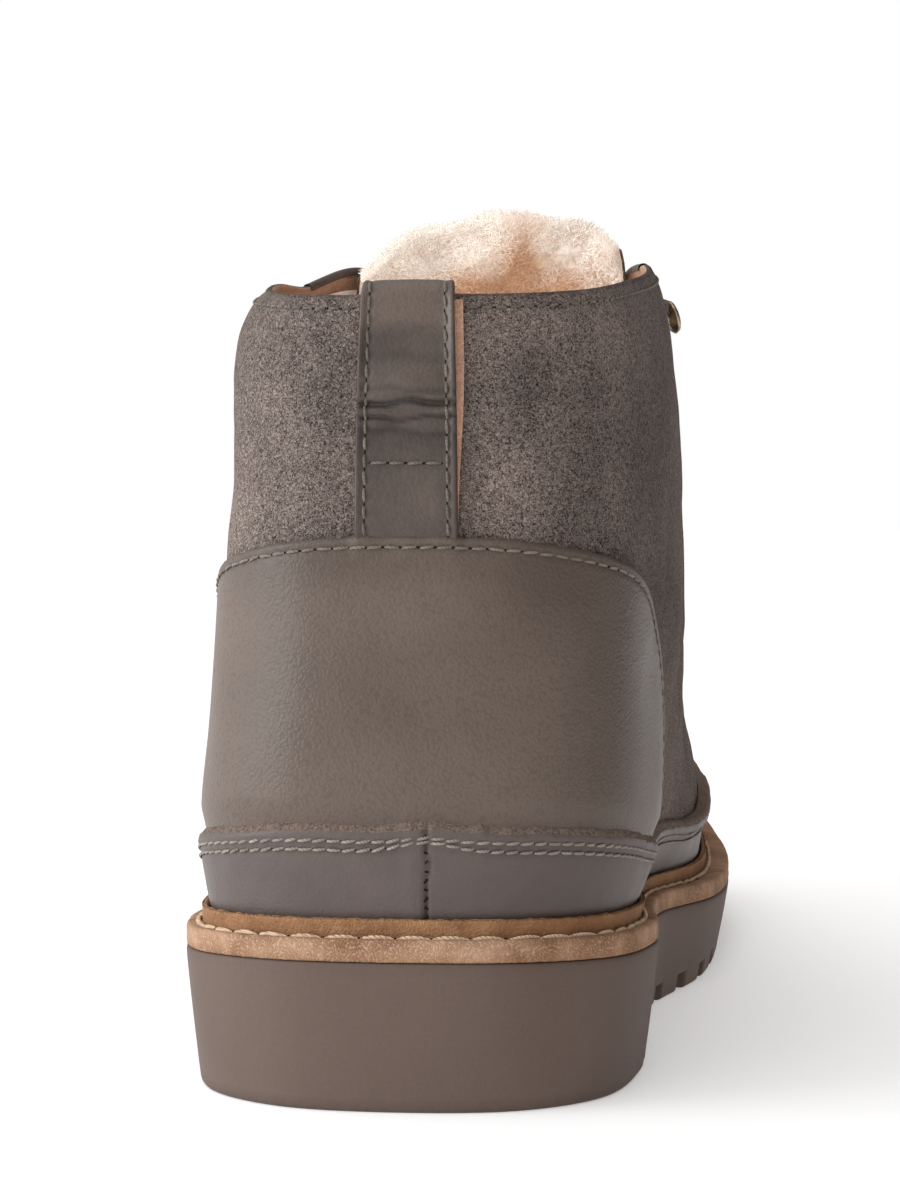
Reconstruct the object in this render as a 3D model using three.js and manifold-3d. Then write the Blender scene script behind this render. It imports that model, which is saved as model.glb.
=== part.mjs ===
// A left sheepskin-lined lace-up boot, in millimetres.
// +Y runs from heel to toe, +X is the medial side, +Z is up and the sole stands on z = 0.
// While it is built, y = 0 is the back edge of the welt. The finished group is centred in x and y.
import * as THREE from "three";
import { mergeVertices } from "three/addons/utils/BufferGeometryUtils.js";
import Module from "manifold-3d";

const wasm = await Module();
wasm.setup();

// Driving sizes
const soleLength = 304;
const ballY = 205;
const pieceGap = 0.3;

// Sole: a wedge that is tallest at the heel and lifts off the floor at the toe
const soleHeelHeight = 25.3;
const soleFallPerMm = 0.055;
const toeLift = 8;
const soleForefoot = 13.8;
const soleTaper = 2.4;
const soleBevel = 0.9;

// Welt: a flat strip stitched on the sole, with a lip that stands against the mudguard
const weltThickness = 3.6;
const weltInset = 13;
const weltRound = 0.6;
const lipHeight = 3.8;
const lipThickness = 1.5;

// Upper: suede and sheepskin in one wall, thin at its open edge and deep with wool below it
const heelFeather = 6.6;
const ballFeather = 9;
const featherChange = { fromY: 90, length: 80 };
const rimWall = 2.6;
const linedWall = 7.5;
const rimBand = 0.45;

// Pieces that stand proud of the upper fill the space between these two distances from it
const overlayLow = 0.3;
const overlayHigh = 1.9;

// Heel counter: its top edge in the side view is level to flatTo, then falls along a curve to the
// front corner. The curve's two handles give its shape. The front edge leans by lean on its way down.
const counter = {
  top: 96.4, flatTo: 3, handles: [{ y: 18, drop: 6.2 }, { y: 50, drop: 6.5 }],
  front: { y: 55.5, z: 60 }, lean: 1.5, bandLevel: 1.02, bandSteps: 24,
};
const cutter = { backY: -20, lowZ: 20, width: 160 };

// Pull loop: stand is its gap to the upper outside, tuck its gap to the wool inside
const loopWidth = 17;
const loopThickness = 2;
const loopX = 1.5;
const loopStand = 0.5;
const loopTuck = 1.6;
const loopRise = 2;
const loopInsideLevels = [4, 3.8, 3.55, 3.3];
const loopArchShares = [0.12, 0.35, 0.65, 0.88];

// Tongue, a row every few steps from its root under the vamp to its top edge. y and z are its
// outside face on the centre line and reach is half its width measured along its curve.
const tongueColumns = ["x", "y", "z", "reach"];
const tongueTable = [
  [5, 188, 71, 19],
  [5, 178, 79.5, 21],
  [5.2, 165, 90.5, 22.5],
  [5.6, 150, 103.5, 24.5],
  [6.2, 135, 118, 26.5],
  [7, 122, 133, 28.2],
  [7.5, 114.5, 146, 30],
  [7.8, 112, 152.5, 29],
  [8, 110.6, 157.5, 26.4],
  [8.4, 109.9, 161.2, 19],
];
const tongueRadius = 40;
const tongueThickness = 9;
const tongueEdge = 2.4;
const tongueRoom = 0.4;

const insoleThickness = 7;
const insoleInset = 10.5;
const insoleLift = 0.45;

// Lacing: where the pairs stand along the open edge, counted in stations from the back seam
const eyeletPlaces = [7.75, 7.2, 6.82, 6.5];
const hookPlace = 5.62;
const laceEndPlace = 5.86;
const hookCrossing = 6.15;
const eyeletSetback = 10;
const hookSetback = 11;
const eyelet = { inner: 2.3, outer: 4.5, height: 0.8, lift: 0.8, outerBevel: 0.5, innerBevel: 0.3 };
const eyeletSides = 14;
const hookProfile = [
  [0, 0], [3, 0], [3, 0.7], [1.3, 1.1], [1.3, 2.3], [2.6, 2.7], [2.2, 3.6], [0, 3.9],
];
const hookSides = 12;

// Lace: how high its centre line lies over the upper for each kind of pass, how far it rises at
// the middle of a pass, and how close two corners of the joined lace are before they are merged
const laceRadius = 1.8;
const laceLift = { under: 3.8, bar: 4.6, over: 5.4 };
const laceCrown = 5;
const laceMerge = 0.05;
const laceSides = 6;
const laceSteps = 9;

// Tread. Its centre line moves to the medial side at the forefoot, and the grooves narrow at the toe.
const notch = { pitch: 16.5, width: 6, height: 3.8, depth: 9, firstY: 38 };
const groove = { width: 4, depth: 3, half: 26, firstY: 22, lastY: 272, toeShare: 0.55 };
const grooveNarrows = { fromY: 235, length: 40 };
const treadShift = { fromY: 120, length: 100, x: 3 };
const arch = { from: 92, to: 116 };

// The last. One row a station, from the back seam round the medial side to the toe and back.
// edge is the welt's edge in plan. flare is how far the mudguard line stands out from the feather
// line and ridgeZ is its height. mid, high and rim are points of the upper's outer surface.
const lastColumns = [
  "station", "edgeX", "edgeY", "flare", "ridgeZ",
  "midX", "midY", "midZ", "highX", "highY", "highZ", "rimX", "rimY", "rimZ",
];
const lastTable = [
  ["back", 0, 0, 2.5, 47.8, 1.7, 4.5, 72, 1.7, 7, 112, 1.7, 8.5, 135.2],
  ["medialHeelCurve", 21.3, 3.5, 3, 47.5, 21.5, 7.5, 72, 21, 9.5, 112, 19.5, 11, 135.4],
  ["medialHeelCorner", 35.7, 16, 4, 46, 35, 19, 72, 34.8, 21, 114, 31.5, 22, 137],
  ["medialHeel", 42, 42, 4.6, 41.8, 40.6, 44, 72, 41.8, 45, 118, 38.4, 45, 140.5],
  ["medialAnkle", 41, 78, 5.5, 39, 44.2, 80, 70, 44.8, 75, 120, 41, 74, 144.5],
  ["medialWaist", 42.3, 108, 6, 37.5, 45.2, 112, 66, 44.8, 99, 121, 40, 94, 147.8],
  ["medialInstep", 52, 146, 3, 34.5, 45.4, 148, 54, 43, 123, 108, 35, 108.5, 146.4],
  ["medialBall", 55.4, 195, 1.7, 34.5, 45.2, 190, 52, 36, 166, 87, 22, 150, 110],
  ["medialToeSide", 53.6, 245, 1, 36, 40.6, 238, 52, 29, 204, 74, 17.5, 172, 91],
  ["medialToeCorner", 42.5, 288.5, 0.5, 39, 31.5, 270, 52.5, 19, 224, 69, 12, 181, 84.5],
  ["toe", 9, 304, 0.5, 40, 8.5, 282, 53, 6.5, 228, 69.5, 5.5, 183, 83.5],
  ["lateralToeCorner", -25.5, 288.5, 0.5, 39, -16, 268, 52, -7, 224, 68.5, -1, 181, 84.5],
  ["lateralToeSide", -50.5, 245, 0.3, 36.5, -37, 238, 51, -20.5, 204, 73, -7.5, 172, 91],
  ["lateralBall", -58.3, 195, 0, 36, -45.5, 190, 51, -30, 166, 84, -12, 150, 110],
  ["lateralInstep", -52, 146, 1.5, 35, -42.5, 148, 56, -36.5, 124, 106, -18, 113, 148.2],
  ["lateralWaist", -45, 108, 3, 37.5, -40, 112, 66, -38, 102, 108, -32, 94, 144.5],
  ["lateralAnkle", -42.6, 78, 3.2, 39, -37.2, 80, 66, -35.4, 75, 108, -33.8, 72, 142.6],
  ["lateralHeel", -42, 42, 2.5, 41.8, -36, 44, 67, -33.6, 44, 104, -31.4, 43, 139.4],
  ["lateralHeelCorner", -35.7, 16, 2.8, 46, -31.2, 19, 70, -29, 20.5, 108, -26, 21.5, 137],
  ["lateralHeelCurve", -21.3, 3.5, 2.6, 47.5, -18.4, 7.5, 72, -17.4, 9.3, 112, -15.8, 10.8, 135.4],
];
const last = lastTable.map((row) => Object.fromEntries(lastColumns.map((name, i) => [name, row[i]])));
const stations = last.length;
const ridgeLevel = 1;
const rimLevel = 4;

const blend = (from, to, t) => from + (to - from) * t;
const smooth = (t) => {
  const s = Math.min(Math.max(t, 0), 1);
  return s * s * (3 - 2 * s);
};

const soleBottomZ = (y) => toeLift * Math.max(0, (y - ballY) / (soleLength - ballY)) ** 1.9;
const soleTopZ = (y) => Math.max(soleHeelHeight - soleFallPerMm * y, soleForefoot + soleBottomZ(y));
const weltTopZ = (y) => soleTopZ(y) + pieceGap + weltThickness;
const featherShare = (y) => smooth((y - featherChange.fromY) / featherChange.length);
const featherInset = (y) => blend(heelFeather, ballFeather, featherShare(y));

const closedLoop = (points) => new THREE.CatmullRomCurve3(points, true, "centripetal");
const point = (x, y, z) => new THREE.Vector3(x, y, z);

const edgeLoop = closedLoop(last.map((row) => point(row.edgeX, row.edgeY, 0)));

// A point of the welt's edge moved straight in by inset. heightAt gives its height from its y.
function edgePoint(u, inset, heightAt) {
  const here = edgeLoop.getPoint(u / stations);
  const along = edgeLoop.getTangent(u / stations);
  const y = here.y + along.x * inset;
  return point(here.x - along.y * inset, y, heightAt(y));
}

function featherPoint(u) {
  const inset = featherInset(edgeLoop.getPoint(u / stations).y);
  return edgePoint(u, inset, (y) => weltTopZ(y) + pieceGap);
}

const guideLoops = [
  closedLoop(last.map((_, u) => featherPoint(u))),
  closedLoop(last.map((row, u) => {
    const inset = featherInset(row.edgeY) - row.flare;
    return edgePoint(u, inset, () => row.ridgeZ);
  })),
  closedLoop(last.map((row) => point(row.midX, row.midY, row.midZ))),
  closedLoop(last.map((row) => point(row.highX, row.highY, row.highZ))),
  closedLoop(last.map((row) => point(row.rimX, row.rimY, row.rimZ))),
];

// The upper's outer surface. u counts stations round the last, level runs from 0 at the feather
// line through 1 at the mudguard line, 2 at mid and 3 at high to 4 at the rim.
function surfacePoint(u, level) {
  const guides = guideLoops.map((loop) => loop.getPoint((u / stations + 1) % 1));
  return new THREE.CatmullRomCurve3(guides, false, "centripetal").getPoint(level / rimLevel);
}

const probe = 0.02;
function surfaceNormal(u, level) {
  const low = Math.max(level - probe, 0);
  const high = Math.min(level + probe, rimLevel);
  const round = surfacePoint(u + probe, level).sub(surfacePoint(u - probe, level));
  const up = surfacePoint(u, high).sub(surfacePoint(u, low));
  return round.cross(up).normalize();
}

// A point at a signed distance from the upper's outer surface, positive outwards.
function offsetPoint(u, level, distance) {
  const moved = surfacePoint(u, level).addScaledVector(surfaceNormal(u, level), distance);
  if (level === 0) moved.z = weltTopZ(moved.y) + pieceGap;
  return moved;
}

const wallLevels = [0, 0.5, ridgeLevel, 1.5, 2.25, 3, 3.55, rimLevel];
const wallAt = (level) => blend(rimWall, linedWall, smooth((rimLevel - level) / rimBand));

// Even steps from a to b, both ends included.
const steps = (a, b, count) => Array.from({ length: count + 1 }, (_, i) => blend(a, b, i / count));

// Turns vertices and quads into a closed geometry with its faces pointing out.
function closedGeometry(vertices, quads) {
  const index = quads.flatMap(([a, b, c, d]) => [a, b, c, a, c, d]);
  let volume = 0;
  for (let i = 0; i < index.length; i += 3) {
    const [a, b, c] = [vertices[index[i]], vertices[index[i + 1]], vertices[index[i + 2]]];
    volume += a.dot(b.clone().cross(c));
  }
  if (volume < 0) index.reverse();
  const geometry = new THREE.BufferGeometry().setFromPoints(vertices);
  geometry.setIndex(index);
  return geometry;
}

// A solid between two grids of points, front[i][j] and back[i][j].
// round joins its last row to its first.
function slab(front, back, round) {
  const rows = front.length;
  const columns = front[0].length;
  const at = (side, i, j) => side * rows * columns + (i % rows) * columns + j;
  const quads = [];
  for (let i = 0; i < (round ? rows : rows - 1); i++) {
    for (let j = 0; j < columns - 1; j++) {
      quads.push([at(0, i, j), at(0, i + 1, j), at(0, i + 1, j + 1), at(0, i, j + 1)]);
      quads.push([at(1, i, j), at(1, i, j + 1), at(1, i + 1, j + 1), at(1, i + 1, j)]);
    }
    quads.push([at(0, i, 0), at(1, i, 0), at(1, i + 1, 0), at(0, i + 1, 0)]);
    const end = columns - 1;
    quads.push([at(0, i, end), at(0, i + 1, end), at(1, i + 1, end), at(1, i, end)]);
  }
  const side = rows - 1;
  for (let j = 0; !round && j < columns - 1; j++) {
    quads.push([at(0, 0, j), at(0, 0, j + 1), at(1, 0, j + 1), at(1, 0, j)]);
    quads.push([at(0, side, j), at(1, side, j), at(1, side, j + 1), at(0, side, j + 1)]);
  }
  return closedGeometry([...front.flat(), ...back.flat()], quads);
}

// A solid swept round the last, from one closed section of points at each place.
function ring(sections) {
  const rows = sections.length;
  const columns = sections[0].length;
  const at = (i, j) => (i % rows) * columns + (j % columns);
  const quads = [];
  for (let i = 0; i < rows; i++) {
    for (let j = 0; j < columns; j++) {
      quads.push([at(i, j), at(i + 1, j), at(i + 1, j + 1), at(i, j + 1)]);
    }
  }
  return closedGeometry(sections.flat(), quads);
}

// A solid through closed rings of points, from bottom to top. Each end is covered straight across.
function stack(rings) {
  const count = rings[0].length;
  const at = (i, j) => i * count + (j % count);
  const quads = [];
  for (let i = 0; i < rings.length - 1; i++) {
    for (let j = 0; j < count; j++) {
      quads.push([at(i, j), at(i, j + 1), at(i + 1, j + 1), at(i + 1, j)]);
    }
  }
  const top = rings.length - 1;
  for (let j = 0; j < count / 2; j++) {
    quads.push([at(0, j), at(0, count - j), at(0, count - j - 1), at(0, j + 1)]);
    quads.push([at(top, j), at(top, j + 1), at(top, count - j - 1), at(top, count - j)]);
  }
  return closedGeometry(rings.flat(), quads);
}

function toSolid(geometry) {
  const bare = geometry.index ? geometry.clone() : geometry;
  bare.deleteAttribute("normal");
  bare.deleteAttribute("uv");
  const merged = mergeVertices(bare, 1e-4);
  return new wasm.Manifold(new wasm.Mesh({
    numProp: 3,
    vertProperties: new Float32Array(merged.attributes.position.array),
    triVerts: new Uint32Array(merged.index.array),
  }));
}

function toGeometry(solid) {
  const mesh = solid.getMesh();
  const geometry = new THREE.BufferGeometry();
  geometry.setAttribute("position", new THREE.BufferAttribute(mesh.vertProperties, 3));
  geometry.setIndex(new THREE.BufferAttribute(mesh.triVerts, 1));
  return geometry;
}

const boot = new THREE.Group();

function addPiece(name, geometry, look) {
  const mesh = new THREE.Mesh(geometry, new THREE.MeshStandardMaterial(look));
  mesh.name = name;
  boot.add(mesh);
}

const looks = {
  suede: { color: 0x82766c, roughness: 0.95 },
  leather: { color: 0x6b6058, roughness: 0.55 },
  wool: { color: 0xe9dcc8, roughness: 1 },
  rubber: { color: 0x6f5f54, roughness: 0.8 },
  welt: { color: 0xb58a62, roughness: 0.75 },
  metal: { color: 0x8d8376, roughness: 0.4, metalness: 0.9 },
  lace: { color: 0x7a6a5a, roughness: 0.9 },
};

const roundSteps = 64;
const roundU = steps(0, stations, roundSteps).slice(0, -1);

// Outsole, with a filler platform that fits inside the welt, and its tread cut from below
function outsole() {
  const level = (inset, heightAt) => roundU.map((u) => edgePoint(u, inset, heightAt));
  const body = stack([
    level(soleTaper + soleBevel, soleBottomZ),
    level(soleTaper, (y) => soleBottomZ(y) + soleBevel),
    level(0, (y) => soleTopZ(y) - soleBevel),
    level(soleBevel, soleTopZ),
    level(weltInset + pieceGap, soleTopZ),
    level(weltInset + pieceGap, weltTopZ),
  ]);
  const cuts = [...edgeNotches(), ...centreGrooves()];
  return toGeometry(cuts.reduce((solid, cut) => solid.subtract(toSolid(cut)), toSolid(body)));
}

// Notches between the side lugs, square to the edge and evenly spaced, with none round the heel
function edgeNotches() {
  const count = Math.round(edgeLoop.getLength() / notch.pitch);
  const cuts = [];
  for (let i = 0; i < count; i++) {
    const t = edgeLoop.getUtoTmapping((i + 0.5) / count);
    const place = edgePoint(t * stations, soleTaper, soleBottomZ);
    if (place.y < notch.firstY) continue;
    const along = edgeLoop.getTangent(t);
    const cut = new THREE.BoxGeometry(2 * notch.depth, notch.width, 2 * notch.height);
    cut.rotateZ(Math.atan2(along.y, along.x) - Math.PI / 2);
    cuts.push(cut.translate(place.x, place.y, place.z));
  }
  return cuts;
}

// Straight grooves across the middle of the heel and forefoot
function centreGrooves() {
  const centreX = (y) => treadShift.x * smooth((y - treadShift.fromY) / treadShift.length);
  const narrowing = (y) => smooth((y - grooveNarrows.fromY) / grooveNarrows.length);
  const cuts = [];
  for (let y = groove.firstY; y < groove.lastY; y += notch.pitch) {
    if (y > arch.from && y < arch.to) continue;
    const half = groove.half * blend(1, groove.toeShare, narrowing(y));
    const cut = new THREE.BoxGeometry(2 * half, groove.width, 2 * groove.depth);
    cuts.push(cut.translate(centreX(y), y, soleBottomZ(y)));
  }
  return cuts;
}

const onWelt = (place) => place.setZ(weltTopZ(place.y));

// Welt: flat strip and standing lip in one section
function welt() {
  const sections = roundU.map((u) => {
    const bottomZ = (y) => soleTopZ(y) + pieceGap;
    const lipFoot = offsetPoint(u, 0, overlayHigh + pieceGap);
    const lipLevel = lipHeight / (surfacePoint(u, ridgeLevel).z - lipFoot.z);
    return [
      edgePoint(u, weltRound, bottomZ),
      edgePoint(u, 0, (y) => bottomZ(y) + weltRound),
      edgePoint(u, 0, (y) => weltTopZ(y) - weltRound),
      edgePoint(u, weltRound, weltTopZ),
      onWelt(offsetPoint(u, 0, overlayHigh + pieceGap + lipThickness)),
      offsetPoint(u, lipLevel, overlayHigh + pieceGap + lipThickness),
      offsetPoint(u, lipLevel, overlayHigh + pieceGap),
      onWelt(lipFoot),
      edgePoint(u, weltInset, weltTopZ),
      edgePoint(u, weltInset, bottomZ),
    ];
  });
  return ring(sections);
}

// The upper's wall. spare makes it fatter on both sides, to cut room round it in what it holds.
function upperWall(spare) {
  const face = (depthAt) => roundU.map((u) => {
    return wallLevels.map((level) => offsetPoint(u, level, depthAt(level)));
  });
  const outer = face(() => spare);
  const inner = face((level) => -wallAt(level) - spare);
  return slab(outer, inner, true);
}

// A band of leather laid on the upper between two levels
function overlayBand(places, levels, round) {
  const front = places.map((u) => levels.map((level) => offsetPoint(u, level, overlayHigh)));
  const back = places.map((u) => levels.map((level) => offsetPoint(u, level, overlayLow)));
  return slab(front, back, round);
}

// Heel counter: leather laid on the upper, cut to its outline by a block seen from the side
function heelCounter() {
  const levels = [counter.bandLevel, ...wallLevels.filter((level) => level > ridgeLevel && level <= 3)];
  const half = counter.bandSteps / 2;
  const places = steps(-half, half, counter.bandSteps).map((i) => (i * stations) / roundSteps);
  const { top, front, handles: [first, second] } = counter;
  const outline = new THREE.Shape();
  outline.moveTo(cutter.backY, cutter.lowZ);
  outline.lineTo(cutter.backY, top);
  outline.lineTo(counter.flatTo, top);
  outline.bezierCurveTo(first.y, top - first.drop, second.y, top - second.drop, front.y, front.z);
  outline.lineTo(front.y + counter.lean, cutter.lowZ);
  const sizes = { depth: cutter.width, bevelEnabled: false, curveSegments: 10 };
  const block = new THREE.ExtrudeGeometry(outline, sizes);
  block.translate(0, 0, -cutter.width / 2);
  const axes = [point(0, 1, 0), point(0, 0, 1), point(1, 0, 0)];
  block.applyMatrix4(new THREE.Matrix4().makeBasis(...axes));
  const band = overlayBand(places, levels, false);
  return toGeometry(toSolid(band).intersect(toSolid(block)));
}

// The level at which the back seam of the upper's surface reaches height z
function backLevelAt(z) {
  let [low, high] = [ridgeLevel, rimLevel];
  for (let i = 0; i < 30; i++) {
    const middle = (low + high) / 2;
    if (surfacePoint(0, middle).z < z) low = middle;
    else high = middle;
  }
  return low;
}

// Pull loop: a strap up the back from the counter, over the collar and down inside it
function pullLoop() {
  const half = loopThickness / 2;
  const outside = steps(backLevelAt(counter.top + pieceGap), rimLevel, 5);
  const path = outside.map((level) => offsetPoint(0, level, half + loopStand));
  const insideAt = (level) => offsetPoint(0, level, -wallAt(level) - half - loopTuck);
  const inner = loopInsideLevels.map(insideAt);
  const [from, to] = [path[path.length - 1], inner[0]];
  for (const t of loopArchShares) {
    const rise = loopRise * Math.sqrt(1 - (2 * t - 1) ** 2);
    path.push(point(0, blend(from.y, to.y, t), blend(from.z, to.z, t) + rise));
  }
  path.push(...inner);
  const side = (sign) => path.map((here, i) => {
    const next = path[Math.min(i + 1, path.length - 1)];
    const before = path[Math.max(i - 1, 0)];
    const along = next.clone().sub(before).setX(0).normalize();
    const [y, z] = [here.y - along.z * half * sign, here.z + along.y * half * sign];
    return [point(loopX - loopWidth / 2, y, z), point(loopX + loopWidth / 2, y, z)];
  });
  return slab(side(1), side(-1), false);
}

// Tongue: suede and wool, curved round the instep, cut back wherever the upper's wall is near
function tongue() {
  const named = (row) => Object.fromEntries(tongueColumns.map((name, i) => [name, row[i]]));
  const rows = tongueTable.map(named);
  const across = steps(-1, 1, 10);
  const place = (i, share, depth) => {
    const before = rows[Math.max(i - 1, 0)];
    const next = rows[Math.min(i + 1, rows.length - 1)];
    const outward = point(0, next.z - before.z, before.y - next.y).normalize();
    const angle = (share * rows[i].reach) / tongueRadius;
    const thickness = blend(tongueThickness, tongueEdge, Math.abs(share) ** 3);
    const arm = tongueRadius - depth * thickness;
    const centre = point(rows[i].x, rows[i].y, rows[i].z).addScaledVector(outward, -tongueRadius);
    return centre.addScaledVector(outward, arm * Math.cos(angle)).add(point(arm * Math.sin(angle), 0, 0));
  };
  const face = (depth) => rows.map((row, i) => across.map((share) => place(i, share, depth)));
  const room = toSolid(upperWall(tongueRoom));
  return toGeometry(toSolid(slab(face(0), face(1), false)).subtract(room));
}

// Insole: the footbed that closes the upper underneath
function insole() {
  const level = (height) => roundU.map((u) => edgePoint(u, insoleInset, (y) => weltTopZ(y) + height));
  const block = stack([level(insoleLift), level(pieceGap + insoleThickness)]);
  const room = toSolid(upperWall(pieceGap));
  return toGeometry(toSolid(block).subtract(room));
}

// A seat is a surface point a set distance back from the open edge, with its outward direction.
// The lace that comes to it passes over the edge at station crossing.
const seatStep = 0.005;
const nearRim = rimLevel - 0.05;
function seatAt(u, distance, crossing) {
  const edge = surfacePoint(u, rimLevel);
  let level = rimLevel;
  while (surfacePoint(u, level).distanceTo(edge) < distance) level -= seatStep;
  const over = surfacePoint(crossing, nearRim);
  const overOut = surfaceNormal(crossing, nearRim);
  return { place: surfacePoint(u, level), out: surfaceNormal(u, level), over, overOut };
}

// Both sides of the boot at one place along the open edge, medial first
const pairAt = (u, distance, crossing) => [
  seatAt(u, distance, crossing),
  seatAt(stations - u, distance, stations - crossing),
];

// Stands a turned piece on the upper, its axis along the outward direction
function standOn(geometry, seat, lift) {
  geometry.rotateX(Math.PI / 2);
  const turn = new THREE.Quaternion().setFromUnitVectors(point(0, 0, 1), seat.out);
  geometry.applyQuaternion(turn);
  const foot = seat.place.clone().addScaledVector(seat.out, lift);
  return geometry.translate(foot.x, foot.y, foot.z);
}

function eyeletRing(seat) {
  const { inner, outer, height, lift, outerBevel, innerBevel } = eyelet;
  const foot = [[inner, 0], [outer, 0]];
  const crown = [[outer - outerBevel, height], [inner + innerBevel, height]];
  const profile = [...foot, ...crown, foot[0]].map(([r, h]) => new THREE.Vector2(r, h));
  return toGeometry(toSolid(standOn(new THREE.LatheGeometry(profile, eyeletSides), seat, lift)));
}

function laceHook(seat) {
  const profile = hookProfile.map(([r, h]) => new THREE.Vector2(r, h));
  const stud = new THREE.LatheGeometry(profile, hookSides);
  return toGeometry(toSolid(standOn(stud, seat, eyelet.lift)));
}

// One pass of the lace, from a medial seat to a lateral one, over both open edges and the tongue
function lacePass(medial, lateral, lift) {
  const above = (seat) => seat.place.clone().addScaledVector(seat.out, lift);
  const overEdge = (seat) => seat.over.clone().addScaledVector(seat.overOut, lift);
  const middle = overEdge(medial).add(overEdge(lateral)).multiplyScalar(0.5);
  middle.addScaledVector(point(0, 1, 1).normalize(), laceCrown);
  const stops = [above(medial), overEdge(medial), middle, overEdge(lateral), above(lateral)];
  const route = new THREE.CatmullRomCurve3(stops);
  const turns = steps(0, 2 * Math.PI, laceSides).slice(0, -1);
  const corner = (turn) => new THREE.Vector2(Math.cos(turn), Math.sin(turn)).multiplyScalar(laceRadius);
  const section = new THREE.Shape(turns.map(corner));
  const sizes = { extrudePath: route, steps: laceSteps, bevelEnabled: false };
  return toSolid(new THREE.ExtrudeGeometry(section, sizes));
}

// Lace: a bar at the throat and two crossed passes between each two pairs, all joined.
// Each kind of pass lies at its own height, so that they cross at a clear angle.
function lace(pairs) {
  let joined = lacePass(pairs[0][0], pairs[0][1], laceLift.bar);
  for (let i = 1; i < pairs.length; i++) {
    const [low, high] = [pairs[i - 1], pairs[i]];
    joined = joined.add(lacePass(low[0], high[1], laceLift.under));
    joined = joined.add(lacePass(high[0], low[1], laceLift.over));
  }
  return toGeometry(joined.simplify(laceMerge));
}

addPiece("outsole", outsole(), looks.rubber);
addPiece("welt", welt(), looks.welt);
addPiece("upper", upperWall(0), looks.suede);
addPiece("mudguard", overlayBand(roundU, [0, 0.5, ridgeLevel], true), looks.leather);
addPiece("heel_counter", heelCounter(), looks.leather);
addPiece("pull_loop", pullLoop(), looks.leather);
addPiece("tongue", tongue(), looks.wool);
addPiece("insole", insole(), looks.wool);

const eyeletPairs = eyeletPlaces.map((u) => pairAt(u, eyeletSetback, u));
const hookPair = pairAt(hookPlace, hookSetback, hookCrossing);
["medial", "lateral"].forEach((side, i) => {
  eyeletPairs.forEach((pair, k) => {
    addPiece(`eyelet_${side}_${k + 1}`, eyeletRing(pair[i]), looks.metal);
  });
  addPiece(`hook_${side}`, laceHook(hookPair[i]), looks.metal);
});
addPiece("lace", lace([...eyeletPairs, pairAt(laceEndPlace, hookSetback, hookCrossing)]), looks.lace);

const extent = new THREE.Box3().setFromObject(boot);
const centre = extent.getCenter(new THREE.Vector3());
boot.position.set(-centre.x, -centre.y, 0);

export default boot;
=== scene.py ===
# Sheepskin boot, left foot: the looks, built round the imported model.
# Sizes are millimetres in the boot's own frame, where the back edge of the welt is y 0,
# the toe points along +y and the medial side is +x. They become metres when a mesh is made.
import math

import bpy
import numpy as np
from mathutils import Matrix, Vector


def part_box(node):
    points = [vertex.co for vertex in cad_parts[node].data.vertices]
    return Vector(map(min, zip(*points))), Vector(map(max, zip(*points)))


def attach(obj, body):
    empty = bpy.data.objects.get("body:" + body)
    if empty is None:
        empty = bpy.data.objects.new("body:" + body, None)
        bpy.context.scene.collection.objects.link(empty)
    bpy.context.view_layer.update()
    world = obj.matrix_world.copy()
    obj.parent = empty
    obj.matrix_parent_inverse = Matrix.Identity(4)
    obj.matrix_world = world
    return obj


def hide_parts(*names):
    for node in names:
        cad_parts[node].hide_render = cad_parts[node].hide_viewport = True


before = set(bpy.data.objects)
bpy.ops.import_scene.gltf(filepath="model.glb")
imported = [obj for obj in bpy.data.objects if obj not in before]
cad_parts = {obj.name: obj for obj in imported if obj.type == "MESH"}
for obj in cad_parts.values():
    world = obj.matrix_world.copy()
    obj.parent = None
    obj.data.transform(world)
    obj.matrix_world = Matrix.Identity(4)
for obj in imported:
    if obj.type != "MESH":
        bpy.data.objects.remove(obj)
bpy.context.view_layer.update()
bpy.context.view_layer.update()
dice = np.random.default_rng(20)

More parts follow.
